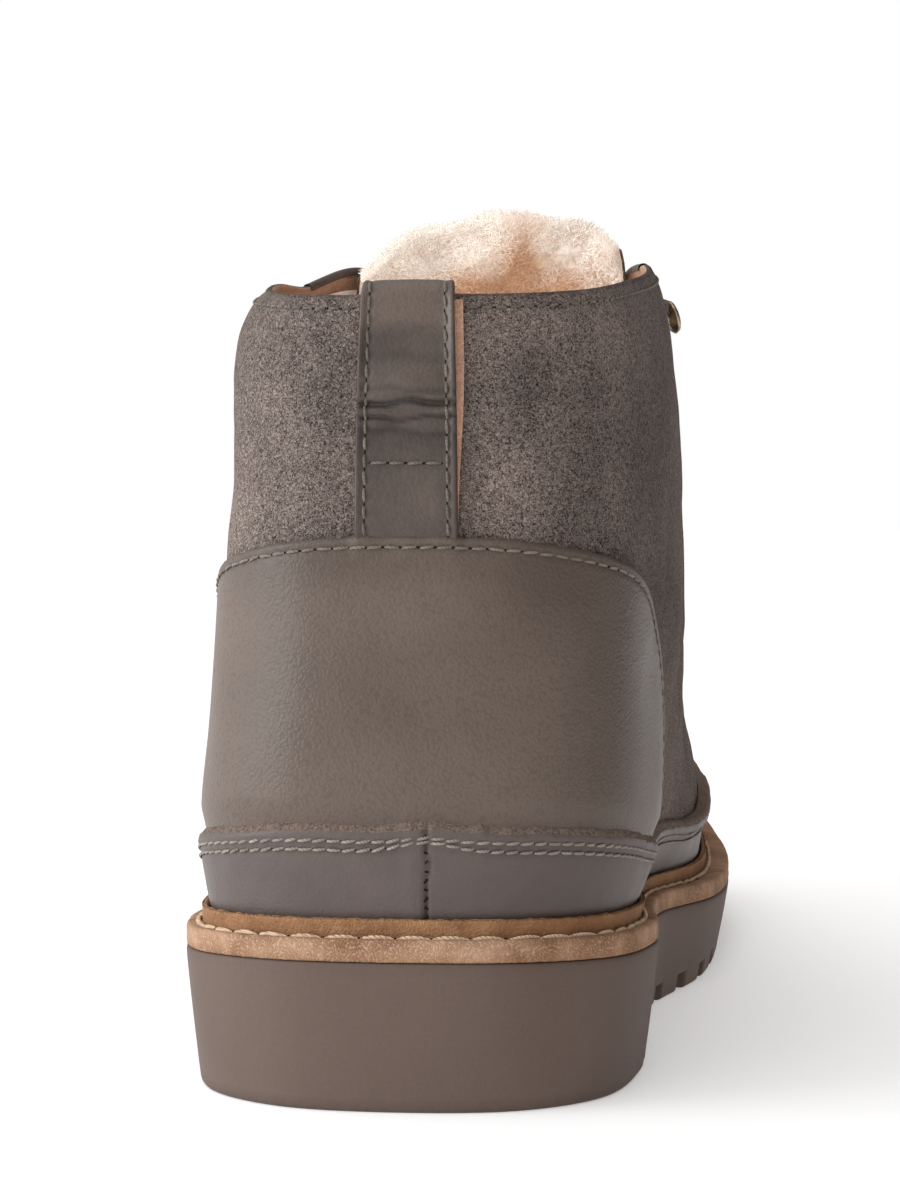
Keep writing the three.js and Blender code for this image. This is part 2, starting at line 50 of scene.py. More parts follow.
# One row a station, from the back seam round the medial side to the toe and back.
# edge is the welt's edge, ridge the mudguard line, then three rows of points up the upper.
bootForm = {
    "rows": [
        # edgeX, edgeY, flare, ridgeZ, midX, midY, midZ, highX, highY, highZ, rimX, rimY, rimZ
        (0, 0, 2.5, 47.8, 1.7, 4.5, 72, 1.7, 7, 112, 1.7, 8.5, 135.2),
        (21.3, 3.5, 3, 47.5, 21.5, 7.5, 72, 21, 9.5, 112, 19.5, 11, 135.4),
        (35.7, 16, 4, 46, 35, 19, 72, 34.8, 21, 114, 31.5, 22, 137),
        (42, 42, 4.6, 41.8, 40.6, 44, 72, 41.8, 45, 118, 38.4, 45, 140.5),
        (41, 78, 5.5, 39, 44.2, 80, 70, 44.8, 75, 120, 41, 74, 144.5),
        (42.3, 108, 6, 37.5, 45.2, 112, 66, 44.8, 99, 121, 40, 94, 147.8),
        (52, 146, 3, 34.5, 45.4, 148, 54, 43, 123, 108, 35, 108.5, 146.4),
        (55.4, 195, 1.7, 34.5, 45.2, 190, 52, 36, 166, 87, 22, 150, 110),
        (53.6, 245, 1, 36, 40.6, 238, 52, 29, 204, 74, 17.5, 172, 91),
        (42.5, 288.5, 0.5, 39, 31.5, 270, 52.5, 19, 224, 69, 12, 181, 84.5),
        (9, 304, 0.5, 40, 8.5, 282, 53, 6.5, 228, 69.5, 5.5, 183, 83.5),
        (-25.5, 288.5, 0.5, 39, -16, 268, 52, -7, 224, 68.5, -1, 181, 84.5),
        (-50.5, 245, 0.3, 36.5, -37, 238, 51, -20.5, 204, 73, -7.5, 172, 91),
        (-58.3, 195, 0, 36, -45.5, 190, 51, -30, 166, 84, -12, 150, 110),
        (-52, 146, 1.5, 35, -42.5, 148, 56, -36.5, 124, 106, -18, 113, 148.2),
        (-45, 108, 3, 37.5, -40, 112, 66, -38, 102, 108, -32, 94, 144.5),
        (-42.6, 78, 3.2, 39, -37.2, 80, 66, -35.4, 75, 108, -33.8, 72, 142.6),
        (-42, 42, 2.5, 41.8, -36, 44, 67, -33.6, 44, 104, -31.4, 43, 139.4),
        (-35.7, 16, 2.8, 46, -31.2, 19, 70, -29, 20.5, 108, -26, 21.5, 137),
        (-21.3, 3.5, 2.6, 47.5, -18.4, 7.5, 72, -17.4, 9.3, 112, -15.8, 10.8, 135.4),
    ],
    "soleHeel": 25.3, "soleFall": 0.055, "soleFront": 13.8, "toeLift": 8, "ballY": 205,
    "soleLength": 304, "weltThick": 3.6, "gap": 0.3,
    "featherHeel": 6.6, "featherBall": 9,
}
rows = np.array(bootForm["rows"], float)
stations = len(rows)
backX, mmPerStation = rows[0, 4], 20.0  # the back seam, and how far one station reaches there
bootMiddle = np.array([0, 150, 20])


def ease(t):
    t = np.clip(t, 0, 1)
    return t * t * (3 - 2 * t)


def bump(t, centre, width):
    return np.exp(-(((t - centre) / width) ** 2))


def unit(v):
    return v / np.maximum(np.linalg.norm(v, axis=-1, keepdims=True), 1e-9)


def soleBottom(y):
    run = np.maximum(0, (y - bootForm["ballY"]) / (bootForm["soleLength"] - bootForm["ballY"]))
    return bootForm["toeLift"] * run ** 1.9


def soleTop(y):
    wedge = bootForm["soleHeel"] - bootForm["soleFall"] * y
    return np.maximum(wedge, bootForm["soleFront"] + soleBottom(y))


def weltTop(y):
    return soleTop(y) + bootForm["gap"] + bootForm["weltThick"]


def splineStep(p0, p1, p2, p3, w):  # smooth line from p1 to p2 that knows its neighbours
    d0, d1, d2 = (np.maximum(np.linalg.norm(b - a, axis=-1, keepdims=True) ** 0.5, 1e-4)
                  for a, b in ((p0, p1), (p1, p2), (p2, p3)))
    t1 = ((p1 - p0) / d0 - (p2 - p0) / (d0 + d1) + (p2 - p1) / d1) * d1
    t2 = ((p2 - p1) / d1 - (p3 - p1) / (d1 + d2) + (p3 - p2) / d2) * d1
    w = np.asarray(w)[..., None]
    return (p1 + t1 * w + (3 * (p2 - p1) - 2 * t1 - t2) * w ** 2
            + (2 * (p1 - p2) + t1 + t2) * w ** 3)


def roundLoop(points, u):  # closed line through one point a station
    i = np.floor(u).astype(int)
    near = [points[(i + k) % len(points)] for k in (-1, 0, 1, 2)]
    return splineStep(*near, u - i)


def openLine(points, t):  # open line, t counts its points
    points = np.asarray(points, float)
    padded = np.vstack([2 * points[0] - points[1], points, 2 * points[-1] - points[-2]])
    i = np.clip(np.floor(t).astype(int), 0, len(points) - 2)
    return splineStep(padded[i], padded[i + 1], padded[i + 2], padded[i + 3], t - i)


edgeLine = np.column_stack([rows[:, 0], rows[:, 1], np.zeros(stations)])


def edgeAt(u, inset, heightAt):  # the welt's edge moved straight in
    u = np.asarray(u, float)
    here = roundLoop(edgeLine, u)
    along = unit(roundLoop(edgeLine, u + 0.002) - roundLoop(edgeLine, u - 0.002))
    y = here[..., 1] + along[..., 0] * inset
    x = here[..., 0] - along[..., 1] * inset
    return np.stack([x, y, heightAt(y) + 0 * y], -1)


def featherInset(y):
    return (bootForm["featherHeel"]
            + (bootForm["featherBall"] - bootForm["featherHeel"]) * ease((y - 90) / 80))


def aroundAll(count):  # even steps round the whole boot
    return np.arange(count) * stations / count


def twoSpacings(low, middle, high, coarse, fine):  # even steps to the middle, then finer ones
    return np.concatenate([np.linspace(low, middle, coarse), np.linspace(middle, high, fine)[1:]])


stationU = np.arange(stations, dtype=float)
featherLine = edgeAt(stationU, featherInset(rows[:, 1]), lambda y: weltTop(y) + bootForm["gap"])
ridgeLine = edgeAt(stationU, featherInset(rows[:, 1]) - rows[:, 2], lambda y: rows[:, 3])
guideLoops = [featherLine, ridgeLine, rows[:, 4:7], rows[:, 7:10], rows[:, 10:13]]


def surfaceAt(u, level):  # the upper's outer face, level 0 at the feather line, 4 at the rim
    u, level = np.broadcast_arrays(np.asarray(u, float), np.asarray(level, float))
    guides = [roundLoop(loop, u) for loop in guideLoops]
    guides = [2 * guides[0] - guides[1], *guides, 2 * guides[-1] - guides[-2]]
    column = np.stack(guides, -2)
    i = np.clip(np.floor(level).astype(int), 0, 3)
    near = [np.take_along_axis(column, (i + k)[..., None, None], -2)[..., 0, :] for k in range(4)]
    return splineStep(*near, level - i)


def normalAt(u, level):
    u, level = np.broadcast_arrays(np.asarray(u, float), np.asarray(level, float))
    low, high = np.maximum(level - 0.02, 0), np.minimum(level + 0.02, 4)
    around = surfaceAt(u + 0.02, level) - surfaceAt(u - 0.02, level)
    return unit(np.cross(around, surfaceAt(u, high) - surfaceAt(u, low)))


def offsetAt(u, level, distance):
    distance = np.asarray(distance, float)
    if distance.ndim:
        distance = distance[..., None]
    return surfaceAt(u, level) + normalAt(u, level) * distance


def levelDown(u, level, distance):  # the level a set distance below another
    rate = np.linalg.norm(surfaceAt(u, level) - surfaceAt(u, level - 0.02), axis=-1) / 0.02
    return level - distance / rate


def levelWhere(u, low, high, isUnder):  # the level where a test on the surface changes, by halving
    u = np.asarray(u, float)
    low, high = np.full_like(u, low), np.full_like(u, high)
    for _ in range(28):
        middle = (low + high) / 2
        under = isUnder(surfaceAt(u, middle))
        low, high = np.where(under, middle, low), np.where(under, high, middle)
    return low


hashAxes = np.array([73856093, 19349663, 83492791])
hashSeed, hashMix = 7919, 1274126177


def softNoise(points, size, seed=0):  # smooth lumps of a set size, from -1 to 1
    p = points / size + seed * 17.31 + 500
    cell = np.floor(p).astype(np.int64)
    w = p - cell
    w = w * w * (3 - 2 * w)
    total = np.zeros(points.shape[:-1])
    for corner in range(8):
        step = np.array([corner & 1, corner >> 1 & 1, corner >> 2])
        key = (cell + step) @ hashAxes + seed * hashSeed
        key = (key ^ (key >> 13)) * hashMix % 2 ** 32
        value = ((key ^ (key >> 15)) % 2 ** 16) / 32767.5 - 1
        total += value * np.prod(np.where(step == 1, w, 1 - w), -1)
    return total


def lumps(points, layers):  # soft noise in layers of amount, size and seed
    return sum(amount * softNoise(points, size, seed) for amount, size, seed in layers)


# The CAD group is centred on the sole, so the sole's own box gives the shift to the frame.
soleLow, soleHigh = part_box("outsole")
cadEdge = edgeAt(aroundAll(64), 0, soleTop)
edgeMiddle = (cadEdge.min(0) + cadEdge.max(0)) / 2
frameShift = np.array([(soleLow.x + soleHigh.x) * 500 - edgeMiddle[0],
                       (soleLow.y + soleHigh.y) * 500 - edgeMiddle[1], 0])


def toFrame(points):
    return (np.asarray(points, float) + frameShift) * 0.001


def paint(red, green, blue):  # a colour as a screen shows it, 0 to 255
    values = [c / 255 for c in (red, green, blue)]
    return tuple(c / 12.92 if c <= 0.04045 else ((c + 0.055) / 1.055) ** 2.4
                 for c in values) + (1.0,)


print("boot form ready, shift", [round(float(v), 2) for v in frameShift])

viewSettings = {
    "place": (52.9, -450, 97.4),
    "aim": (3.5, 60, 83.5),
    "lens": 83.0,
}


def addObject(name, data):
    thing = bpy.data.objects.new(name, data)
    bpy.context.scene.collection.objects.link(thing)
    return thing


def turnTo(thing, place, aim):
    thing.location = place
    thing.rotation_euler = (aim - place).to_track_quat("-Z", "Y").to_euler()


def placeCamera():
    data = bpy.data.cameras.new("bootCamera")
    camera = addObject("bootCamera", data)
    turnTo(camera, *(Vector(toFrame(viewSettings[key])) for key in ("place", "aim")))
    data.lens = viewSettings["lens"]
    data.clip_start = 0.01
    data.clip_end = 50
    bpy.context.scene.camera = camera


placeCamera()
bpy.context.scene.view_settings.view_transform = "Standard"
print("camera placed")


def gridFaces(rowCount, columnCount, roundRows=False, roundColumns=False):
    i, j = np.meshgrid(np.arange(rowCount if roundRows else rowCount - 1),
                       np.arange(columnCount if roundColumns else columnCount - 1), indexing="ij")
    ahead, across = (i + 1) % rowCount, (j + 1) % columnCount
    corners = [i * columnCount + j, ahead * columnCount + j,
               ahead * columnCount + across, i * columnCount + across]
    return np.stack(corners, -1).reshape(-1, 4)


def gridPart(points, roundRows=False, roundColumns=False, flip=False, look=0, edge=0.0, tone=0.0):
    rowCount, columnCount = points.shape[:2]
    faces = gridFaces(rowCount, columnCount, roundRows, roundColumns)
    flat = points.reshape(-1, 3)
    spread = lambda value: np.broadcast_to(np.asarray(value, float), points.shape[:2]).reshape(-1)
    return {"points": flat, "faces": (faces[:, ::-1] if flip else faces).tolist(),
            "look": look, "edge": spread(edge), "tone": spread(tone)}


def makePiece(name, parts, kinds, replaced=()):  # kinds are names in looks
    points = np.vstack([part["points"] for part in parts])
    faces, indices, start = [], [], 0
    for part in parts:
        faces += [[k + start for k in face] for face in part["faces"]]
        indices += [part["look"]] * len(part["faces"])
        start += len(part["points"])
    mesh = bpy.data.meshes.new(name)
    mesh.from_pydata(toFrame(points).tolist(), [], faces)
    for key in ("edge", "tone"):
        values = np.concatenate([part[key] for part in parts]).astype(np.float32)
        mesh.attributes.new(key, "FLOAT", "POINT").data.foreach_set("value", values)
    for kind in kinds:
        mesh.materials.append(looks[kind])
    mesh.polygons.foreach_set("material_index", np.array(indices, np.int32))
    mesh.polygons.foreach_set("use_smooth", np.ones(len(faces), bool))
    mesh.update()
    piece = addObject(name, mesh)
    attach(piece, "root")
    if replaced:
        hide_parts(*replaced)
    print("made", name, len(faces), "faces")


def ringOf(sides, side, other):  # a circle of points round the origin, across two directions
    turn = np.arange(sides) / sides * 2 * math.pi
    return (np.cos(turn)[:, None] * side[..., None, :]
            + np.sin(turn)[:, None] * other[..., None, :])


def sweepPart(path, radius, sides, upward=None):
    # a closed cord along a line of points
    path = np.asarray(path, float)
    along = unit(np.gradient(path, axis=0))
    side = np.zeros_like(path)
    for i in range(len(path)):
        base = upward
        if upward is None:
            base = np.cross(side[i - 1], along[i - 1]) if i else np.array([0.0, 0, 1])
        side[i] = unit(np.cross(along[i], base))
    size = np.broadcast_to(np.asarray(radius, float), (len(path),))[:, None, None]
    rings = path[:, None, :] + size * ringOf(sides, side, np.cross(side, along))
    part = gridPart(rings, roundColumns=True, flip=True)
    last = (len(path) - 1) * sides
    part["faces"] += [list(range(sides)), [last + k for k in reversed(range(sides))]]
    return part


latheSides = 28


def lathePart(profile, foot, out):
    # turns (radius, height) round the outward direction
    side = unit(np.cross(out, [0.3, 1, 0.2]))
    radius, height = np.asarray(profile, float).T[..., None, None]
    return gridPart(foot + height * out + radius * ringOf(latheSides, side, np.cross(out, side)),
                    roundColumns=True)


def runAlong(path):  # the length of a line up to each of its points
    return np.concatenate([[0], np.cumsum(np.linalg.norm(np.diff(path, axis=0), axis=1))])


def resample(path, count):  # the same line with even steps
    path = np.asarray(path, float)
    run = runAlong(path)
    wanted = np.linspace(0, run[-1], count)
    return np.stack([np.interp(wanted, run, path[:, k]) for k in range(3)], -1)


threadShape = {
    "rings": (0, 0.14, 0.36, 0.64, 0.86, 1), "sides": 6, "flat": 0.8, "lean": 0.05,
    "uneven": 0.05, "toneSpread": 0.35, "holeSides": 7, "holeLift": 0.04,
}


def stitchParts(path, normals, sizes, phase=0.5):
    # one short arched thread and two needle holes at each pitch of a line on the leather; the holes
    # are dark discs of painted shade
    path, normals = np.asarray(path, float), np.asarray(normals, float)
    run = runAlong(path)
    count = max(1, int(run[-1] / sizes["pitch"]))
    pitch = run[-1] / count
    length = pitch * sizes["fill"]
    centres = (np.arange(count) + phase) * pitch
    centres = centres[(centres > length / 2) & (centres < run[-1] - length / 2)]
    spot = lambda s, values: np.stack([np.interp(s, run, values[:, k]) for k in range(3)], -1)
    here, up = spot(centres, path), unit(spot(centres, normals))
    along = unit(spot(centres + length / 2, path) - spot(centres - length / 2, path))
    side = unit(np.cross(up, along))
    lean = dice.normal(0, threadShape["lean"], (len(centres), 1)) + sizes.get("slant", 0)
    along = unit(along + side * lean)
    side = unit(np.cross(up, along))
    share, sides = np.array(threadShape["rings"]), threadShape["sides"]
    turn = np.arange(sides) / sides * 2 * math.pi
    arch = np.sin(share * math.pi)
    lift = sizes["lift"] * arch ** 0.7 - sizes["sink"]
    thick = sizes["radius"] * (0.55 + 0.45 * arch ** 0.6)
    local = np.stack([
        np.repeat((share - 0.5) * length, sides),
        (thick[:, None] * np.cos(turn)[None]).ravel(),
        (thick[:, None] * np.sin(turn)[None] * threadShape["flat"] + lift[:, None]).ravel()], -1)
    stretch = dice.normal(1, threadShape["uneven"], (len(centres), 1, 1))
    points = (here[:, None, :] + local[None, :, :1] * along[:, None, :] * stretch
              + local[None, :, 1:2] * side[:, None, :] + local[None, :, 2:] * up[:, None, :])
    corners = len(local)
    one = gridFaces(len(share), sides, roundColumns=True).tolist()
    one += [list(range(sides))[::-1], list(range(corners - sides, corners))]
    faces = [[k + corners * n for k in face] for n in range(len(centres)) for face in one]
    tone = np.repeat(dice.normal(0, threadShape["toneSpread"], len(centres)), corners)
    threads = {"points": points.reshape(-1, 3), "faces": faces, "look": 0,
               "edge": np.zeros(len(tone)), "tone": tone}
    # the holes: flat dark discs, painted shade for the hollow of each needle hole
    ends = np.concatenate([centres - length * 0.53, centres + length * 0.53])
    spots, up = spot(ends, path), unit(spot(ends, normals))
    side, sides = unit(np.cross(up, [0.1, 0.2, 1.0])), threadShape["holeSides"]
    points = (spots[:, None, :] + up[:, None, :] * threadShape["holeLift"]
              + ringOf(sides, side, np.cross(up, side)) * sizes["hole"])
    blank = np.zeros(sides * len(ends))
    holes = {"points": points.reshape(-1, 3), "look": 1, "edge": blank, "tone": blank,
             "faces": [[sides * n + k for k in range(sides)] for n in range(len(ends))]}
    return [threads, holes]


def newGroup(name, inputs, outputs):
    tree = bpy.data.node_groups.new(name, "ShaderNodeTree")
    for label, value in inputs.items():
        socket = tree.interface.new_socket(label, in_out="INPUT", socket_type="NodeSocketFloat")
        socket.default_value = value
    for label in outputs:
        tree.interface.new_socket(label, in_out="OUTPUT", socket_type="NodeSocketFloat")
    return tree, tree.nodes.new("NodeGroupInput"), tree.nodes.new("NodeGroupOutput")


def node(tree, kind, **values):
    made = tree.nodes.new(kind)
    for key, value in values.items():
        label = key.replace("_", " ")
        if label in made.inputs:
            made.inputs[label].default_value = value
        else:
            setattr(made, key, value)
    return made


def feed(tree, socket, value):  # another node's output, a number, or a colour from 0 to 255
    if isinstance(value, bpy.types.NodeSocket):
        tree.links.new(value, socket)
    elif isinstance(value, tuple) and len(value) == 3:
        socket.default_value = paint(*value)
    else:
        socket.default_value = value


def send(tree, target, **values):  # one value to each named input of a node
    for label, value in values.items():
        feed(tree, target.inputs[label.replace("_", " ")], value)


def maths(tree, operation, first, second, clamp=False):
    made = node(tree, "ShaderNodeMath", operation=operation, use_clamp=clamp)
    feed(tree, made.inputs[0], first)
    feed(tree, made.inputs[1], second)
    return made.outputs[0]


def plus(tree, first, second, clamp=False):
    return maths(tree, "ADD", first, second, clamp)


def times(tree, first, second, clamp=False):
    return maths(tree, "MULTIPLY", first, second, clamp)


def mixed(tree, first, share, second, more):
    return plus(tree, times(tree, first, share), times(tree, second, more))


def ranged(tree, value, low, high, toLow=0.0, toHigh=1.0):
    made = node(tree, "ShaderNodeMapRange", From_Min=low, From_Max=high, To_Min=toLow,
                To_Max=toHigh)
    send(tree, made, Value=value)
    return made.outputs["Result"]


def blendColours(tree, share, first, second, mode="MIX"):
    made = node(tree, "ShaderNodeMix", data_type="RGBA", blend_type=mode, clamp_factor=True)
    for k, value in ((0, share), (6, first), (7, second)):  # its three colour mixing sockets
        feed(tree, made.inputs[k], value)
    return made.outputs[2]


def objectPlace(tree):
    return node(tree, "ShaderNodeTexCoord").outputs["Object"]


def markValue(tree, name):
    return node(tree, "ShaderNodeAttribute", attribute_name=name).outputs["Fac"]


def noiseOf(tree, where, scale, detail=2.0, roughness=0.5, distortion=0.0):
    made = node(tree, "ShaderNodeTexNoise", Detail=detail, Roughness=roughness,
                Distortion=distortion)
    send(tree, made, Vector=where, Scale=scale)
    return made.outputs[0]


def leatherGrainGroup():  # pebbled smooth leather: small rounded cells and pores
    tree, given, result = newGroup("leatherGrain", {"Grain Scale": 1300.0, "Patch Scale": 60.0},
                                   ("Height", "Pores", "Patches"))
    where, grainScale = objectPlace(tree), given.outputs["Grain Scale"]
    warp = node(tree, "ShaderNodeTexNoise", Scale=400.0, Detail=2.0)
    push = node(tree, "ShaderNodeVectorMath", operation="SCALE", Scale=0.0009)
    moved = node(tree, "ShaderNodeVectorMath", operation="ADD")
    cells = node(tree, "ShaderNodeTexVoronoi", feature="SMOOTH_F1", Smoothness=0.5)
    for start, end in ((where, warp.inputs["Vector"]), (warp.outputs["Color"], push.inputs[0]),
                       (where, moved.inputs[0]), (push.outputs[0], moved.inputs[1]),
                       (moved.outputs[0], cells.inputs["Vector"]),
                       (grainScale, cells.inputs["Scale"])):
        tree.links.new(start, end)
    pebble = ranged(tree, cells.outputs["Distance"], 0.15, 0.75, 1.0, 0.0)
    fine = noiseOf(tree, where, times(tree, grainScale, 2.3), 2.0)
    broad = noiseOf(tree, where, times(tree, grainScale, 0.22), 2.0)
    height = mixed(tree, pebble, 0.55, fine, 0.3)
    patches = noiseOf(tree, where, given.outputs["Patch Scale"], 4.0, 0.62, 0.3)
    send(tree, result, Height=plus(tree, height, times(tree, broad, 0.5)),
         Pores=ranged(tree, pebble, 0.35, 0.0), Patches=ranged(tree, patches, 0.32, 0.68))
    return tree


def napFibreGroup():  # brushed nap: short fibres, clumps of them, and brushed patches
    tree, given, result = newGroup("napFibre", {"Fibre Scale": 2600.0, "Patch Scale": 45.0},
                                   ("Height", "Fibre", "Clumps", "Patches"))
    where, fibreScale = objectPlace(tree), given.outputs["Fibre Scale"]
    fine = noiseOf(tree, where, fibreScale, 2.0, 0.55, 1.6)
    middle = noiseOf(tree, where, times(tree, fibreScale, 0.3), 3.0, 0.6, 0.9)
    broad = noiseOf(tree, where, given.outputs["Patch Scale"], 5.0, 0.6, 0.4)
    fibre = ranged(tree, fine, 0.3, 0.7)
    clumps = ranged(tree, middle, 0.33, 0.67)
    send(tree, result, Height=mixed(tree, fibre, 0.8, clumps, 0.35),
         Fibre=fibre, Clumps=clumps, Patches=ranged(tree, broad, 0.34, 0.66))
    return tree


def edgeWearGroup():  # a broken mask from the "edge" mark: wear along cut edges and beside seams, and painted shade where the guard's foot and the sole are marked
    tree, given, result = newGroup("edgeWearAndShade", {"Amount": 1.0, "Break Scale": 900.0},
                                   ("Mask",))
    mark = markValue(tree, "edge")
    broken = noiseOf(tree, objectPlace(tree), given.outputs["Break Scale"], 3.0, 0.6)
    mask = times(tree, mark, ranged(tree, broken, 0.3, 0.7, 0.45, 1.2))
    send(tree, result, Mask=times(tree, mask, given.outputs["Amount"], clamp=True))
    return tree


groups = {"grain": leatherGrainGroup(), "nap": napFibreGroup(), "wear": edgeWearGroup()}


def newMaterial(name, roughness, sheen=0.0, coat=0.0, specular=0.5):
    material = bpy.data.materials.new(name)
    material.use_nodes = True
    tree = material.node_tree
    shader = tree.nodes["Principled BSDF"]
    send(tree, shader, Roughness=roughness, Sheen_Weight=sheen, Sheen_Roughness=0.6,
         Coat_Weight=coat, Coat_Roughness=0.35, Specular_IOR_Level=specular)
    return material, tree, shader


def groupNode(tree, key, **values):
    made = node(tree, "ShaderNodeGroup", node_tree=groups[key])
    send(tree, made, **values)
    return made


def addBump(tree, shader, height, distance):
    made = node(tree, "ShaderNodeBump", Distance=distance)
    send(tree, made, Height=height)
    send(tree, shader, Normal=made.outputs["Normal"])


def toned(tree, value, low, high):  # a texture's patches moved by the mesh's own "tone" mark
    return plus(tree, value, ranged(tree, markValue(tree, "tone"), -1, 1, low, high), clamp=True)


def suedeMaterial(name, look):
    material, tree, shader = newMaterial(name, look["roughness"], sheen=look["sheen"],
                                         specular=0.12)
    nap = groupNode(tree, "nap", Fibre_Scale=look["fibreScale"], Patch_Scale=look["patchScale"])
    wear = groupNode(tree, "wear", Amount=look["edgeAmount"])
    brushed = toned(tree, times(tree, nap.outputs["Patches"], 0.5), -0.25, 0.75)
    ground = blendColours(tree, brushed, look["dark"], look["light"])
    speck = mixed(tree, nap.outputs["Fibre"], 0.88, nap.outputs["Clumps"], 0.12)
    shaded = blendColours(tree, look["speckle"], ground, look["shade"], "MULTIPLY")
    tipped = blendColours(tree, look["speckle"] * 0.75, ground, look["tip"])
    smudge = node(tree, "ShaderNodeHueSaturation")  # the brushed patches, light and dark
    send(tree, smudge, Value=ranged(tree, brushed, 0, 1, 0.74, 1.26),
         Color=blendColours(tree, ranged(tree, speck, 0.22, 0.78), shaded, tipped))
    colour = blendColours(tree, wear.outputs["Mask"], smudge.outputs[0], look["edge"])
    send(tree, shader, Base_Color=colour, Sheen_Tint=look["bloom"])
    addBump(tree, shader, nap.outputs["Height"], look["depth"])
    return material


def leatherMaterial(name, look):
    material, tree, shader = newMaterial(name, look["roughness"], coat=look.get("coat", 0.0),
                                         specular=look.get("specular", 0.4))
    grain = groupNode(tree, "grain", Grain_Scale=look["grainScale"],
                      Patch_Scale=look["patchScale"])
    wear = groupNode(tree, "wear", Amount=look["edgeAmount"])
    patches, worn = grain.outputs["Patches"], wear.outputs["Mask"]
    share = toned(tree, times(tree, patches, 0.6), -0.3, 0.7)
    colour = blendColours(tree, share, look["dark"], look["light"])
    pores = times(tree, grain.outputs["Pores"], look["pores"])
    colour = blendColours(tree, pores, colour, look["pore"])
    rough = ranged(tree, patches, 0, 1, look["roughness"] - 0.06, look["roughness"] + 0.06)
    send(tree, shader, Base_Color=blendColours(tree, worn, colour, look["edge"]),
         Roughness=plus(tree, rough, times(tree, worn, 0.25), clamp=True))
    addBump(tree, shader, grain.outputs["Height"], look["depth"])
    return material


def woolMaterial(name, look):
    material, tree, shader = newMaterial(name, 0.95, specular=0.1)
    where = objectPlace(tree)
    curls = noiseOf(tree, where, look["curlScale"], 4.0, 0.6, 1.2)
    broad = noiseOf(tree, where, look["patchScale"], 3.0, 0.5, 0.5)
    share = mixed(tree, broad, 0.5, markValue(tree, "tone"), 0.5)
    colour = blendColours(tree, ranged(tree, share, 0.28, 0.85), look["light"], look["tan"])
    depth = markValue(tree, "edge")  # how deep in the fleece, 1 at the skin; the deep colour there is painted shade
    colour = blendColours(tree, ranged(tree, depth, 0.1, 1.0), colour, look["deep"])
    # the curl shade darkens the hollows of the curls: painted shade
    colour = blendColours(tree, ranged(tree, curls, 0.62, 0.35, 0.0, look["curlShade"]), colour,
                          look["tan"], "MULTIPLY")
    # the glow stands for light that soaks through the fleece
    send(tree, shader, Base_Color=colour, Emission_Color=colour, Emission_Strength=look["glow"])
    addBump(tree, shader, curls, look["depth"])
    return material


def threadMaterial(name, look):
    material, tree, shader = newMaterial(name, 0.75, sheen=0.15, specular=0.25)
    wave = node(tree, "ShaderNodeTexWave", Scale=look["plyScale"], Distortion=2.0, Detail=1.0,
                bands_direction="DIAGONAL")
    send(tree, wave, Vector=objectPlace(tree))
    tone = ranged(tree, markValue(tree, "tone"), -1, 1)
    colour = blendColours(tree, tone, look["dark"], look["light"])
    ply = times(tree, wave.outputs["Fac"], 0.4)
    send(tree, shader, Base_Color=blendColours(tree, ply, colour, look["dark"]))
    addBump(tree, shader, wave.outputs["Fac"], look["depth"])
    return material


def plainMaterial(name, look):  # cut edges, needle holes and metal
    material, tree, shader = newMaterial(name, look["roughness"], specular=look["specular"])
    speck = noiseOf(tree, objectPlace(tree), look["speckScale"], 3.0, 0.7)
    colour = blendColours(tree, ranged(tree, speck, 0.35, 0.65), look["dark"], look["light"])
    send(tree, shader, Base_Color=colour, Metallic=look.get("metal", 0.0))
    addBump(tree, shader, speck, look["depth"])
    return material


def rubberMaterial(name, look):
    material, tree, shader = newMaterial(name, look["roughness"], specular=0.25)
    where = objectPlace(tree)
    fine = noiseOf(tree, where, 1800.0, 3.0, 0.6)
    broad = noiseOf(tree, where, 30.0, 4.0, 0.6)
    # the edge mask here also lays painted shade on the sole's foot, notches and grooves
    wear = groupNode(tree, "wear", Amount=0.6)
    share = mixed(tree, fine, 0.35, broad, 0.65)
    colour = blendColours(tree, ranged(tree, share, 0.35, 0.65), look["dark"], look["light"])
    rough = ranged(tree, broad, 0.3, 0.7, look["roughness"] - 0.05, look["roughness"] + 0.05)
    send(tree, shader, Roughness=rough,
         Base_Color=blendColours(tree, wear.outputs["Mask"], colour, look["edge"]))
    addBump(tree, shader, fine, look["depth"])
    return material


